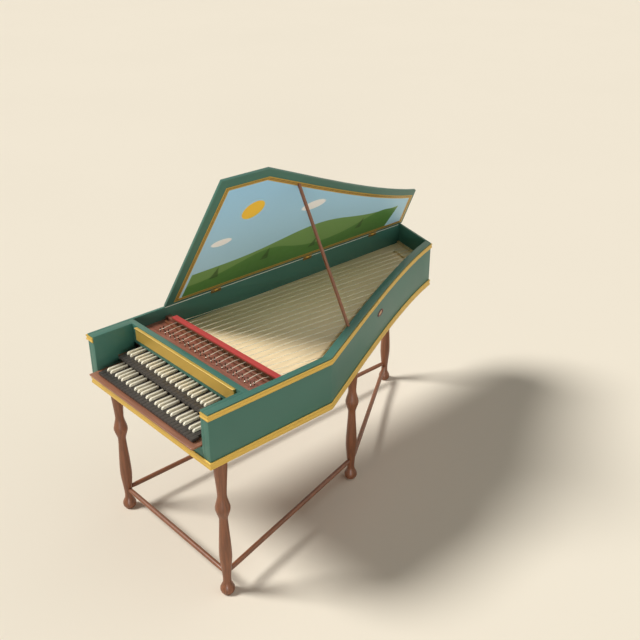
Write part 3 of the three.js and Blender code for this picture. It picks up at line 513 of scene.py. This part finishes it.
def landscape(lid):
    """Painted hills under a wide sky, laid out along the lid."""
    look = Finish("lid_landscape", coat=0.08)
    x, y, z = look.axes()
    up = (x - HINGE_LINE.x) * UP_THE_LID.x + (z - HINGE_LINE.z) * UP_THE_LID.z
    along = y - FRONT
    brush = look.noise(look.place(), 34, 4)
    wide = look.noise(look.place(stretch=(1, 0.35, 1)), 6, 4)
    blades = look.noise(look.place(stretch=(0.4, 1, 0.4)), 120)
    crackle = look.noise(look.place(), 160, 3, 0.7)

    height = (up * 1.5 - 0.3 + wide * 0.16).held()
    sky = look.mix(lid.sky_low, lid.sky_high, height)
    clouds = 0.0
    for cloud_up, cloud_along, half_height, half_width in CLOUDS:
        rise = (up - cloud_up) / half_height + (wide - 0.5) * 0.5
        run = (along - cloud_along) / half_width + (brush - 0.5) * 0.15
        clouds = ((1.0 - rise * rise - run * run) * 4.0).held().larger(clouds)
    sky = look.mix(sky, lid.cloud, clouds)
    rise, run = up - SUN_UP, along - SUN_ALONG
    disc = ((SUN_RADIUS ** 2 - rise * rise - run * run) * 2400.0).held()
    sky = look.mix(sky, lid.sun, disc)

    uneven = (wide - 0.5) * 0.012
    over_far = skyline(along, FAR_GROUND, FAR_HILLS) + uneven - up
    over_near = skyline(along, NEAR_GROUND, NEAR_HILLS) + uneven - up
    inside = (along > PICTURE_START) * (along < PICTURE_END)
    patchy = (wide * 0.6 + brush * 0.4 + 0.1).held()
    far_shade = look.mix(shaded(lid.far_hill, 0.8), lid.far_hill, patchy)
    falling = (over_near * -3.0 + 0.55 + blades * 0.4).held()
    near_shade = look.mix(shaded(lid.near_hill, 0.72), lid.near_hill, falling)
    scene = look.mix(sky, far_shade, (over_far * 400.0).held() * inside)
    scene = look.mix(scene, near_shade, (over_near * 300.0).held() * inside)

    trees = 0.0
    for tree_along, top, height, half_width in TREES:
        reach = (top - up) * (half_width / height)
        tree = ((reach - (along - tree_along).size()) * 160.0).held() * (up > top - height)
        trees = tree.larger(trees)
    scene = look.mix(scene, lid.tree, trees * (brush * 0.5 + 0.45).held())
    look.set("Base Color", look.mix(scene, OLD_VARNISH, (crackle - 0.58).held() * 0.4))
    look.set("Roughness", brush * 0.2 + 0.42)
    look.bumps(brush * 0.6 + crackle * 0.4, 0.0003, 0.3)
    return look.material


# Shaping


def nothing():
    """Nothing selected, out of edit mode."""
    active = bpy.context.view_layer.objects.active
    if active and active.mode != "OBJECT":
        bpy.ops.object.mode_set(mode="OBJECT")
    bpy.ops.object.select_all(action="DESELECT")


def fresh(name=""):
    """The object that an operator has just made, given its name."""
    made = bpy.context.view_layer.objects.active
    made.name = name or made.name
    return made


def only(piece):
    """One piece alone selected and active, out of edit mode."""
    nothing()
    piece.select_set(True)
    bpy.context.view_layer.objects.active = piece


def edit(piece, action="SELECT"):
    """Into edit mode with all faces selected, or none."""
    only(piece)
    bpy.ops.object.mode_set(mode="EDIT")
    bpy.ops.mesh.select_mode(type="FACE")
    bpy.ops.mesh.select_all(action=action)


def done():
    """Out of edit mode."""
    bpy.ops.object.mode_set(mode="OBJECT")


def pick(piece, test):
    """Into edit mode with the faces selected whose centre and normal pass a test."""
    edit(piece, "DESELECT")
    done()
    for face in piece.data.polygons:
        face.select = bool(test(face.center, face.normal))
    bpy.ops.object.mode_set(mode="EDIT")


def rounded(piece, width, segments=2, angle=28):
    """Its sharp edges rounded by a bevel."""
    only(piece)
    bpy.ops.object.modifier_add(type="BEVEL")
    bevel = piece.modifiers[-1]
    bevel.width, bevel.segments = width, segments
    bevel.limit_method, bevel.angle_limit = "ANGLE", math.radians(angle)
    bpy.ops.object.modifier_apply(modifier=bevel.name)


def smooth(piece, angle=35):
    """Shaded smooth across edges flatter than an angle."""
    only(piece)
    bpy.ops.object.shade_smooth_by_angle(angle=math.radians(angle))


def dress(piece, *materials):
    """Its materials, the first of them all over."""
    piece.data.materials.clear()
    for material in materials:
        piece.data.materials.append(material)


def zone(piece, index, test):
    """Another material on the faces whose centre and normal pass a test."""
    for face in piece.data.polygons:
        if test(face.center, face.normal):
            face.material_index = index


def copied(node, name):
    """A merged copy of a frame piece, with a mesh of its own."""
    only(frame["nodes"][node])
    bpy.ops.object.duplicate()
    piece = fresh(name)
    piece.parent = None
    if "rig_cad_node" in piece:
        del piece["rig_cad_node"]
    bpy.ops.mesh.customdata_custom_splitnormals_clear()
    edit(piece)
    bpy.ops.mesh.remove_doubles(threshold=0.00001)
    bpy.ops.mesh.dissolve_limited(angle_limit=math.radians(0.4))
    done()
    return piece


def settle(piece, body, slot, *nodes):
    """It rides on its body and stands for its frame pieces, which it hides; its slot is not used."""
    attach(piece, body)
    if nodes:
        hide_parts(*nodes)


def finished(piece, material, body, slot, *nodes):
    """Its one finish put on, shaded smooth and settled."""
    dress(piece, material)
    smooth(piece)
    settle(piece, body, slot, *nodes)


def softened(node, name, body, slot, width, material, segments=2, angle=28):
    """A frame piece made again with its edges rounded and its finish on."""
    piece = copied(node, name)
    if width:
        rounded(piece, width, segments, angle)
    finished(piece, material, body, slot, node)


def moved(piece, move, turn=(0, 0, 0)):
    """The piece's place put into its mesh."""
    piece.rotation_euler = turn
    piece.location = move
    only(piece)
    bpy.ops.object.transform_apply()
    return piece


def twin(piece, move, turn=(0, 0, 0)):
    """A copy with a mesh of its own, moved in its mesh."""
    only(piece)
    bpy.ops.object.duplicate()
    return moved(fresh(), move, turn)


def joined(pieces, name):
    """Several pieces made one."""
    nothing()
    for piece in pieces:
        piece.select_set(True)
    bpy.context.view_layer.objects.active = pieces[0]
    bpy.ops.object.join()
    return fresh(name)


def closed(piece):
    """Out of edit mode with every face pointing outwards."""
    bpy.ops.mesh.select_all(action="SELECT")
    bpy.ops.mesh.normals_make_consistent(inside=False)
    done()
    return piece


def turned(name, profile, sides=40):
    """A turned piece, drawn up its profile of radius and height from one disc."""
    nothing()
    radius, level = profile[0]
    bpy.ops.mesh.primitive_circle_add(
        vertices=sides, radius=radius, fill_type="NGON", location=(0, 0, level))
    piece = fresh(name)
    bpy.ops.object.transform_apply()
    edit(piece)
    for next_radius, next_level in profile[1:]:
        bpy.ops.mesh.extrude_region_move(TRANSFORM_OT_translate={"value": (0, 0, next_level - level)})
        share = next_radius / radius
        bpy.ops.transform.resize(value=(share, share, 1), center_override=(0, 0, next_level))
        radius, level = next_radius, next_level
    return closed(piece)


def wire(points, radius, sides=6):
    """A round wire drawn through points that all lie along +Y."""
    nothing()
    bpy.ops.mesh.primitive_circle_add(
        vertices=sides, radius=radius, fill_type="NGON", location=points[0],
        rotation=(math.pi / 2, 0, 0))
    piece = fresh()
    bpy.ops.object.transform_apply()
    edit(piece)
    for before, after in zip(points, points[1:]):
        bpy.ops.mesh.extrude_region_move(
            TRANSFORM_OT_translate={"value": tuple(Vector(after) - Vector(before))})
    return closed(piece)


def board(name, low, high, width, segments=2):
    """A planed board between two corners, its edges eased."""
    nothing()
    low, high = Vector(low), Vector(high)
    middle = (low + high) / 2
    bpy.ops.mesh.primitive_cube_add(size=1, location=middle)
    piece = fresh(name)
    edit(piece)
    bpy.ops.transform.resize(value=tuple(high - low), center_override=tuple(middle))
    done()
    bpy.ops.object.transform_apply()
    rounded(piece, width, segments)
    return piece


def repaint(nodes, material):
    """A finish given to frame pieces that keep their shape."""
    for node in nodes:
        for entry in frame["nodes"][node].material_slots:
            entry.material = material


def string_places():
    """Where the strings lie across the keyboard: at every third key's edge."""
    left = NATURALS_LOW.x + RAIL_PAST_KEYS
    octave = (NATURALS_HIGH.x - RAIL_PAST_KEYS - left) / OCTAVES
    # Five levers share the three naturals from C to E, seven the four from F to B
    low, high = octave * 3 / 35, octave * 4 / 49
    edges = []
    for index in range(KEYS):
        number, semitone = divmod(index, 12)
        levers = (semitone + 1) * low if semitone < 5 else 5 * low + (semitone - 4) * high
        edges.append(left + number * octave + levers)
    return edges[:-1:3]


# The pieces


class HARPSICHORD_OT_case(bpy.types.Operator):
    """Walls, blocks and boards of the case, painted"""

    bl_idname = "harpsichord.case"
    bl_label = "Case"

    def execute(self, context):
        case = context.scene.harpsichord_case
        paint = painted_green(case)
        for node in ("cheek", "bentside", "tail", "front_rail", "bass_key_block", "treble_key_block",
                     "front_beam"):
            softened(node, node + "_painted", "case", "green_paint", case.edge, paint)
        self.spine(case, paint)
        self.apron(case, paint)
        self.rim_highlight(case)
        plain = wood("plain_wood", case.inside, shaded(case.inside, 0.55), roughness=0.62, coat=0.0)
        softened("bottom_board", "bottom_planed", "case", "inner_wood", case.edge, plain)
        plank = context.scene.harpsichord_strings.plank
        block = wood("rail_block_wood", plank, case.block_dark, "X", 0.8)
        for node in ("bass_rail_block", "treble_rail_block"):
            softened(node, node + "_planed", "case", "brown_wood", case.edge, block)
        repaint(("keybed_brace", "belly_rail", "bottom_brace_1", "bottom_brace_2", "soundboard_liner",
                 "bass_wrest_block", "treble_wrest_block"), plain)
        return {"FINISHED"}

    def spine(self, case, paint):
        """The spine, with the fixed leaves of the hinges that stand out from its inner face."""
        piece = copied("spine", "spine_painted")
        rounded(piece, 0.0005)
        dress(piece, paint, metal("hinge_brass_fixed", case.fixed_leaf, 0.4))
        zone(piece, 1, lambda centre, normal: centre.x > SPINE_INSIDE + 0.0001)
        smooth(piece)
        settle(piece, "case", "green_paint", "spine")

    def apron(self, case, paint):
        """The board that hangs from the front beam down to the keys."""
        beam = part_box("front_beam")[0]
        left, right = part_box("bass_key_block")[1].x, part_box("treble_key_block")[0].x
        keys_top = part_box("upper_sharps")[1].z
        gap, clear, thickness, lap = 0.0003, 0.0035, 0.005, 0.002
        piece = board("beam_apron", (left + gap, beam.y + 0.0002, keys_top + clear),
                      (right - gap, beam.y + thickness, beam.z + lap), case.edge)
        finished(piece, paint, "case", "green_paint")

    def rim_highlight(self, case):
        """A pale strip just under the rim, on the inner face of the spine: a painted highlight standing for
        the lit edge of the rim.
        """
        lid_low, lid_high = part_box("lid")
        # A thin pale strip as a painted highlight of the rim's lit edge
        piece = board("rim_highlight", (SPINE_INSIDE - 0.0001, lid_low.y, RIM - 0.0038),
                      (SPINE_INSIDE + 0.00025, lid_high.y - 0.03, RIM - 0.0003), 0.0001)
        dress(piece, Finish("rim_highlight").plain(case.rim_highlight))
        settle(piece, "case", "green_paint")


class HARPSICHORD_OT_mouldings(bpy.types.Operator):
    """Gilt mouldings round the case, and the nameboard"""

    bl_idname = "harpsichord.mouldings"
    bl_label = "Mouldings"

    def execute(self, context):
        case = context.scene.harpsichord_case
        gold = gilt(case)
        for node in ("top_moulding", "base_moulding"):
            softened(node, node + "_gilt", "case", "gilding", 0.0009, gold, 2, 24)
        # The nameboard's gold gets a painted highlight along its edges
        bright = gilt(case, "nameboard_gilding", metallic=0.5, edge_highlight=0.9)
        softened("nameboard", "nameboard_gilt", "case", "gilding", 0.0012, bright, 3, 24)
        return {"FINISHED"}


class HARPSICHORD_OT_keys(bpy.types.Operator):
    """Keys of both manuals, the key frame and the tray they lie on"""

    bl_idname = "harpsichord.keys"
    bl_label = "Keys"

    def execute(self, context):
        keys = context.scene.harpsichord_keys
        stand = context.scene.harpsichord_stand
        dark, pale = dark_wood(keys), pale_plate(keys)
        for manual in ("lower", "upper"):
            natural, sharp = manual + "_free_natural", manual + "_free_sharp"
            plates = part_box(natural)[1].z + 0.0001
            for node, body in ((manual + "_naturals", "case"), (natural, natural)):
                softened(node, node + "_polished", body, "dark_keys", keys.edge, dark)
            for node, body in ((manual + "_sharps", "case"), (sharp, sharp)):
                piece = copied(node, node + "_plated")
                rounded(piece, keys.edge)
                dress(piece, dark, pale)
                zone(piece, 1, lambda centre, normal: centre.z > plates)
                smooth(piece)
                settle(piece, body, "pale_keys", node)
        tray = wood("tray_wood", keys.tray, keys.tray_dark, "X", 0.9, coat=0.2)
        softened("key_tray", "key_tray_moulded", "case", "brown_wood", 0.0016, tray, 3)
        frame_wood = wood("key_frame_wood", stand.wood, stand.wood_dark, "X", roughness=0.5)
        softened("upper_key_frame", "upper_key_frame_planed", "case", "brown_wood", 0.0008, frame_wood)
        return {"FINISHED"}


class HARPSICHORD_OT_action(bpy.types.Operator):
    """Registers, jacks and the jackrail with its cloth"""

    bl_idname = "harpsichord.action"
    bl_label = "Jacks and jackrail"

    def execute(self, context):
        strings = context.scene.harpsichord_strings
        stand = context.scene.harpsichord_stand
        jack = wood("jack_wood", strings.jack, strings.jack_dark, "Z", 2.0, 0.5)
        repaint(("upper_register", "lower_register", "upper_natural_jack", "upper_sharp_jack",
                 "lower_natural_jack", "lower_sharp_jack"), jack)
        rail = wood("jackrail_wood", stand.wood, stand.wood_dark, "X")
        softened("jackrail", "jackrail_planed", "jackrail", "brown_wood", 0.0012, rail)
        red = felt(strings)
        softened("jackrail_cover", "jackrail_cloth", "jackrail", "red_cloth", 0.0012, red, 3)
        low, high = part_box("jackrail_cover")
        lip = board("jackrail_cloth_lip", (low.x, low.y - 0.0011, low.z - 0.0045),
                    (high.x, low.y - 0.0001, high.z - 0.001), 0.0004)
        finished(lip, red, "jackrail", "red_cloth")
        return {"FINISHED"}


class HARPSICHORD_OT_strings(bpy.types.Operator):
    """Wrestplank, tuning pins, nut and strings"""

    bl_idname = "harpsichord.strings"
    bl_label = "Strings"

    def execute(self, context):
        strings = context.scene.harpsichord_strings
        stand = context.scene.harpsichord_stand
        steel = metal("pin_steel", strings.steel, 0.35)
        drawn = metal("string_metal", strings.metal, wear=0.03, metallic=0.4)
        places = string_places()
        corners = [vertex.co for vertex in frame["nodes"]["nut_and_strings"].data.vertices]
        hitch_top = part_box("hitchpin_rail")[1].z
        self.plank(strings)
        self.pins(strings, places, steel, drawn)
        self.nut(stand)
        self.pairs(strings, places, corners, hitch_top, drawn)
        self.hitches(places, corners, hitch_top, steel)
        return {"FINISHED"}

    def plank(self, strings):
        piece = board("wrestplank_planed", PLANK_LOW, (PLANK_HIGH.x, PLANK_HIGH.y, PLANK_TOP), 0.001)
        grain = wood("wrestplank_wood", strings.plank, shaded(strings.plank, 0.5), "X", 0.8, coat=0.2)
        finished(piece, grain, "case", "brown_wood", "wrestplank")

    def pins(self, strings, places, steel, drawn):
        """Two rows of tuning pins, each pin with three turns of its string round it."""
        radius, thick, pitch = strings.pin, 0.0007, 0.0011
        profile = [(radius, -0.0004), (radius, 0.0072)]
        for turn in range(3):
            profile += [(radius + thick, 0.0078 + turn * pitch), (radius, 0.0083 + turn * pitch)]
        profile += [(radius, 0.014), (radius * 0.98, 0.0195), (radius * 0.7, PIN_HEIGHT)]
        pin = turned("tuning_pins", profile, 14)
        dress(pin, steel, drawn)
        zone(pin, 1, lambda centre, normal: 0.0073 < centre.z < 0.0106)
        smooth(pin, 50)
        rows = [twin(pin, (x, y, PLANK_TOP)) for x in places for y in (FRONT_PINS, BACK_PINS)]
        bpy.data.objects.remove(pin)
        settle(joined(rows, "tuning_pins"), "case", "brown_wood")

    def nut(self, stand):
        low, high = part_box("nut_and_strings")
        half = 0.004
        piece = board("nut_moulded", (low.x, NUT_MIDDLE - half, PLANK_TOP),
                      (high.x, NUT_MIDDLE + half, NUT_TOP - 0.0005), 0.0012, 3)
        grain = wood("nut_wood", stand.wood, stand.wood_dark, "X", roughness=0.45)
        finished(piece, grain, "case", "brown_wood", "nut_and_strings")

    def pairs(self, strings, places, corners, hitch_top, drawn):
        """Two strings at each place, from their pins over nut and bridge to the hitchpin rail."""
        bridge_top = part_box("bridge")[1].z
        wires = []
        for x in places:
            near = [p for p in corners if abs(p.x - x) < 0.002 and p.z < NUT_TOP + 0.001]
            end = max(p.y for p in near)
            over_bridge = max(
                p.y for p in near if abs(p.z - bridge_top - 0.001) < 0.0011 and p.y < end - 0.005)
            for side, row in ((x - strings.apart, FRONT_PINS), (x + strings.apart, BACK_PINS)):
                wires.append(wire([
                    (side, row + 0.0018, PLANK_TOP + 0.0092),
                    (side, row + 0.008, PLANK_TOP + 0.0098),
                    (side, NUT_MIDDLE, NUT_TOP + strings.wire * 0.4),
                    (side, over_bridge, bridge_top + strings.wire + 0.0002),
                    (side, end - 0.0012, hitch_top + strings.wire + 0.0004)], strings.wire))
        piece = joined(wires, "strings_drawn")
        dress(piece, drawn)
        smooth(piece, 60)
        settle(piece, "case", "brass")

    def hitches(self, places, corners, hitch_top, steel):
        """A small pin at the far end of each pair."""
        pin = turned("hitch_pins", [
            (0.0009, -0.001), (0.0009, 0.0032), (0.0012, 0.0036), (0.0008, 0.0042)], 10)
        dress(pin, steel)
        smooth(pin, 50)
        row = []
        for x in places:
            end = max(p.y for p in corners if abs(p.x - x) < 0.002)
            row.append(twin(pin, (x, end + 0.0002, hitch_top)))
        bpy.data.objects.remove(pin)
        settle(joined(row, "hitch_pins"), "case", "brass")


class HARPSICHORD_OT_soundboard(bpy.types.Operator):
    """Soundboard, bridge and hitchpin rail"""

    bl_idname = "harpsichord.soundboard"
    bl_label = "Soundboard"

    def execute(self, context):
        strings = context.scene.harpsichord_strings
        softened("soundboard", "soundboard_planed", "case", "soundboard", 0.0004, spruce(strings))
        bridge = wood("bridge_wood", strings.bridge, strings.bridge_dark, roughness=0.45)
        softened("bridge", "bridge_moulded", "case", "brown_wood", 0.0012, bridge, 2, 20)
        hitch = wood("hitch_wood", strings.hitch, strings.hitch_dark, roughness=0.45)
        softened("hitchpin_rail", "hitchpin_rail_moulded", "case", "brown_wood", 0.0009, hitch)
        return {"FINISHED"}


class HARPSICHORD_OT_lid(bpy.types.Operator):
    """Lid with its gilt frame, painted panel and hinges"""

    bl_idname = "harpsichord.lid"
    bl_label = "Lid"

    def execute(self, context):
        case = context.scene.harpsichord_case
        lid = context.scene.harpsichord_lid
        softened("lid", "lid_painted", "lid", "green_paint", case.edge, painted_green(case, "lid_paint"))
        softened("lid_painting", "lid_landscape_panel", "lid", "painting", 0.0, landscape(lid))
        self.surround(case, lid)
        self.hinges(lid)
        return {"FINISHED"}

    def surround(self, case, lid):
        """The gilt frame, with a dark line sunk round it."""
        piece = copied("lid_frame", "lid_frame_gilt")
        pick(piece, lambda centre, normal: normal.dot(OUT_OF_LID) > 0.9)
        # A flat border, then the two walls of the line
        for thickness, depth in ((0.006, 0.0), (0.0022, -0.0003), (0.001, 0.0003)):
            bpy.ops.mesh.inset(thickness=thickness, depth=depth, use_boundary=True, use_even_offset=True)
        done()
        dress(piece, gilt(case, "frame_gilding"), wood("frame_line", lid.line, lid.line_dark, roughness=0.5))
        level = max((vertex.co - HINGE_LINE).dot(OUT_OF_LID) for vertex in piece.data.vertices)
        zone(piece, 1, lambda centre, normal: normal.dot(OUT_OF_LID) > 0.5 and (
            centre - HINGE_LINE).dot(OUT_OF_LID) < level - 0.0001)
        smooth(piece, 25)
        settle(piece, "lid", "gilding", "lid_frame")

    def hinges(self, lid):
        """The moving leaf of each hinge, with three screws."""
        brass = metal("hinge_brass", lid.brass, 0.26)
        screw = turned("screw", [(0.0021, -0.0002), (0.0021, 0.0001), (0.0017, 0.0006), (0.0008, 0.0008)], 16)
        dress(screw, brass)
        smooth(screw, 50)
        leaf_face = HINGE_LINE + UP_THE_LID * 0.0069 - OUT_OF_LID * 0.0021
        for number in (1, 2, 3):
            node = f"lid_hinge_leaf_{number}"
            softened(node, node + "_brass", "lid", "brass", 0.0004, brass)
            low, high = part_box(node)
            heads = []
            for shift in (-0.021, 0.0, 0.021):
                spot = leaf_face + Vector((0, (low.y + high.y) / 2 + shift, 0))
                heads.append(twin(screw, spot, (0, math.pi - LID_ANGLE, 0)))
            settle(joined(heads, f"hinge_screws_{number}"), "lid", "brass")
        bpy.data.objects.remove(screw)


class HARPSICHORD_OT_stick(bpy.types.Operator):
    """Stick that holds the lid up"""

    bl_idname = "harpsichord.stick"
    bl_label = "Prop stick"

    def execute(self, context):
        stand = context.scene.harpsichord_stand
        lean = (0, math.radians(27), 0)
        grain = wood("stick_wood", stand.wood, stand.wood_dark, "Z", coat=0.2, turn=lean)
        softened("prop_stick", "prop_stick_planed", "prop_stick", "brown_wood", 0.0018, grain, 3)
        return {"FINISHED"}


class HARPSICHORD_OT_roundel(bpy.types.Operator):
    """Oval roundel on the bentside: a raised ring round a low boss"""

    bl_idname = "harpsichord.roundel"
    bl_label = "Roundel"

    def execute(self, context):
        case = context.scene.harpsichord_case
        low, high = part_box("roundel")
        radius, depth = (high.z - low.z) / 2, 0.009
        piece = turned("roundel_turned", [
            (radius * 0.94, 0.0003), (radius, 0.0014), (radius, 0.0044), (radius * 0.95, 0.0062),
            (radius * 0.86, 0.007), (radius * 0.76, 0.0063), (radius * 0.68, 0.0046),
            (radius * 0.62, 0.0038), (radius * 0.54, 0.0047), (radius * 0.4, 0.0058),
            (radius * 0.2, 0.0064)])
        ring = wood("roundel_rim", case.ring, case.ring_dark, "Y", 1.2, 0.4)
        boss = wood("roundel_boss", case.boss, case.boss_dark, "Y", 1.2, 0.4)
        dress(piece, ring, boss)
        zone(piece, 1, lambda centre, normal: centre.xy.length < radius * 0.58)
        edit(piece)
        lower, longer = 0.85, 2.4
        bpy.ops.transform.resize(value=(lower, longer, 1.0), center_override=(0, 0, 0))
        done()
        smooth(piece, 40)
        way = self.outward()
        moved(piece, (low + high) / 2 - way * (depth / 2), way.to_track_quat("Z", "X").to_euler())
        settle(piece, "case", "brown_wood", "roundel")
        return {"FINISHED"}

    def outward(self):
        """The way that the roundel faces, from the flat face of its frame piece."""
        faces = frame["nodes"]["roundel"].data.polygons
        way = Vector(max(faces, key=lambda face: face.area).normal)
        return way if way.x > 0 else -way


class HARPSICHORD_OT_stand(bpy.types.Operator):
    """Turned legs and round stretchers"""

    bl_idname = "harpsichord.stand"
    bl_label = "Stand"

    def execute(self, context):
        stand = context.scene.harpsichord_stand
        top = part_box("front_left_leg")[1].z - 0.0003
        leg = turned("leg", [(share * stand.leg, level * top) for share, level in LEG_PROFILE], stand.sides)
        dress(leg, wood("leg_wood", stand.wood, stand.wood_dark, "Z", 0.8, coat=0.2))
        smooth(leg, 40)
        for node in ("front_left_leg", "front_right_leg", "bentside_leg", "tail_leg"):
            low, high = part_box(node)
            middle = (low + high) / 2
            piece = twin(leg, (middle.x, middle.y, 0))
            piece.name = node + "_turned"
            settle(piece, "case", "brown_wood", node)
        bpy.data.objects.remove(leg)
        for node in ("front_stretcher", "spine_stretcher", "cheek_stretcher", "bentside_stretcher"):
            self.stretcher(node, stand)
        return {"FINISHED"}

    def stretcher(self, node, stand):
        """A round bar between the two ends of its frame piece, thinned a little at the ends."""
        points = [vertex.co for vertex in frame["nodes"][node].data.vertices]
        tip = max(points, key=lambda p: (p - points[0]).length)
        other = max(points, key=lambda p: (p - tip).length)
        ends = [[p for p in points if (p - corner).length < 0.03] for corner in (tip, other)]
        first, last = [sum(end, Vector()) / len(end) for end in ends]
        span = (last - first).length
        radius = stand.stretcher
        half = [(radius * 0.84, 0.0), (radius * 0.9, 0.006), (radius * 0.98, 0.03), (radius, 0.07)]
        mirrored = [(size, span - level) for size, level in reversed(half)]
        piece = turned(node + "_turned", half + mirrored, 24)
        turn = (last - first).to_track_quat("Z", "X").to_euler()
        back = (-turn.x, 0, -turn.z)
        dress(piece, wood(node + "_wood", stand.wood, stand.wood_dark, "Z", 0.8, coat=0.2, turn=back))
        smooth(piece, 40)
        moved(piece, first, turn)
        settle(piece, "case", "brown_wood", node)


class HARPSICHORD_OT_stage(bpy.types.Operator):
    """Floor, lamps, sky and camera"""

    bl_idname = "harpsichord.stage"
    bl_label = "Stage"

    def execute(self, context):
        stage = context.scene.harpsichord_stage
        self.floor(stage)
        self.lamps(stage)
        self.sky(context, stage)
        bpy.ops.object.camera_add(
            location=CAMERA_PLACE, rotation=(math.pi / 2 - CAMERA_DOWN, 0, CAMERA_ROUND))
        camera = fresh()
        camera.data.lens, camera.data.sensor_width = LENS, SENSOR
        context.scene.camera = camera
        context.scene.view_settings.view_transform = "Standard"
        return {"FINISHED"}

    def floor(self, stage):
        """A wide matt floor, a little cloudy."""
        nothing()
        bpy.ops.mesh.primitive_circle_add(vertices=96, radius=FLOOR_RADIUS, fill_type="NGON")
        floor = fresh("floor")
        look = Finish("floor_paper", roughness=0.95)
        look.set("Specular IOR Level", 0.0)
        cloudy = look.noise(look.place(), 0.4, 2)
        look.set("Base Color", look.mix(stage.floor, shaded(stage.floor, 0.97, 0.97, 0.965), cloudy))
        dress(floor, look.material)

    def lamps(self, stage):
        """Three suns, each with the way it shines from and its spread in degrees."""
        for name, strength, way, spread in (
                ("main_lamp", stage.sun, (-0.586, -0.667, 1.0), 18),
                ("fill_lamp", stage.fill, (0.8, -0.75, 0.03), 24),
                ("back_lamp", stage.back, (0.5, 0.6, 0.9), 90)):
            bpy.ops.object.light_add(type="SUN")
            lamp = fresh(name)
            lamp.data.energy = strength
            lamp.data.angle = math.radians(spread)
            lamp.rotation_euler = Vector(way).to_track_quat("Z", "Y").to_euler()

    def sky(self, context, stage):
        """A dim sky that the camera and polished surfaces see bright."""
        world = bpy.data.worlds.new("plain_sky")
        context.scene.world = world
        world.use_nodes = True
        tree = world.node_tree
        sky = tree.nodes["Background"]
        sky.inputs["Color"].default_value = stage.floor
        rays = tree.nodes.new("ShaderNodeLightPath")
        mirrored = Value(tree, rays.outputs["Is Glossy Ray"]) * (stage.mirrored - stage.sky)
        seen = Value(tree, rays.outputs["Is Camera Ray"]) * (1 - stage.sky)
        connect(tree, sky.inputs["Strength"], mirrored + seen + stage.sky)


class HARPSICHORD_PT_panel(bpy.types.Panel):
    """The settings, and the pieces in the order they are made"""

    bl_idname = "HARPSICHORD_PT_panel"
    bl_label = "Harpsichord"
    bl_space_type = "VIEW_3D"
    bl_region_type = "UI"
    bl_category = "Harpsichord"

    def draw(self, context):
        for name, kind in SETTINGS.items():
            box = self.layout.box()
            for setting in kind.__annotations__:
                box.prop(getattr(context.scene, name), setting)
        for maker in PIECES:
            self.layout.operator(maker.bl_idname)


SETTINGS = {
    "harpsichord_case": CaseSettings,
    "harpsichord_keys": KeySettings,
    "harpsichord_strings": StringSettings,
    "harpsichord_lid": LidSettings,
    "harpsichord_stand": StandSettings,
    "harpsichord_stage": StageSettings,
}
PIECES = (
    HARPSICHORD_OT_case, HARPSICHORD_OT_mouldings, HARPSICHORD_OT_keys, HARPSICHORD_OT_action,
    HARPSICHORD_OT_strings, HARPSICHORD_OT_soundboard, HARPSICHORD_OT_lid, HARPSICHORD_OT_stick,
    HARPSICHORD_OT_roundel, HARPSICHORD_OT_stand, HARPSICHORD_OT_stage,
)


def register():
    for kind in (*SETTINGS.values(), *PIECES, HARPSICHORD_PT_panel):
        bpy.utils.register_class(kind)
    for name, kind in SETTINGS.items():
        setattr(bpy.types.Scene, name, bpy.props.PointerProperty(type=kind))


def unregister():
    for name in SETTINGS:
        delattr(bpy.types.Scene, name)
    for kind in reversed((*SETTINGS.values(), *PIECES, HARPSICHORD_PT_panel)):
        bpy.utils.unregister_class(kind)


def main():
    register()
    for maker in PIECES:
        getattr(bpy.ops.harpsichord, maker.bl_idname.split(".")[1])()


if __name__ == "__main__":
    main()
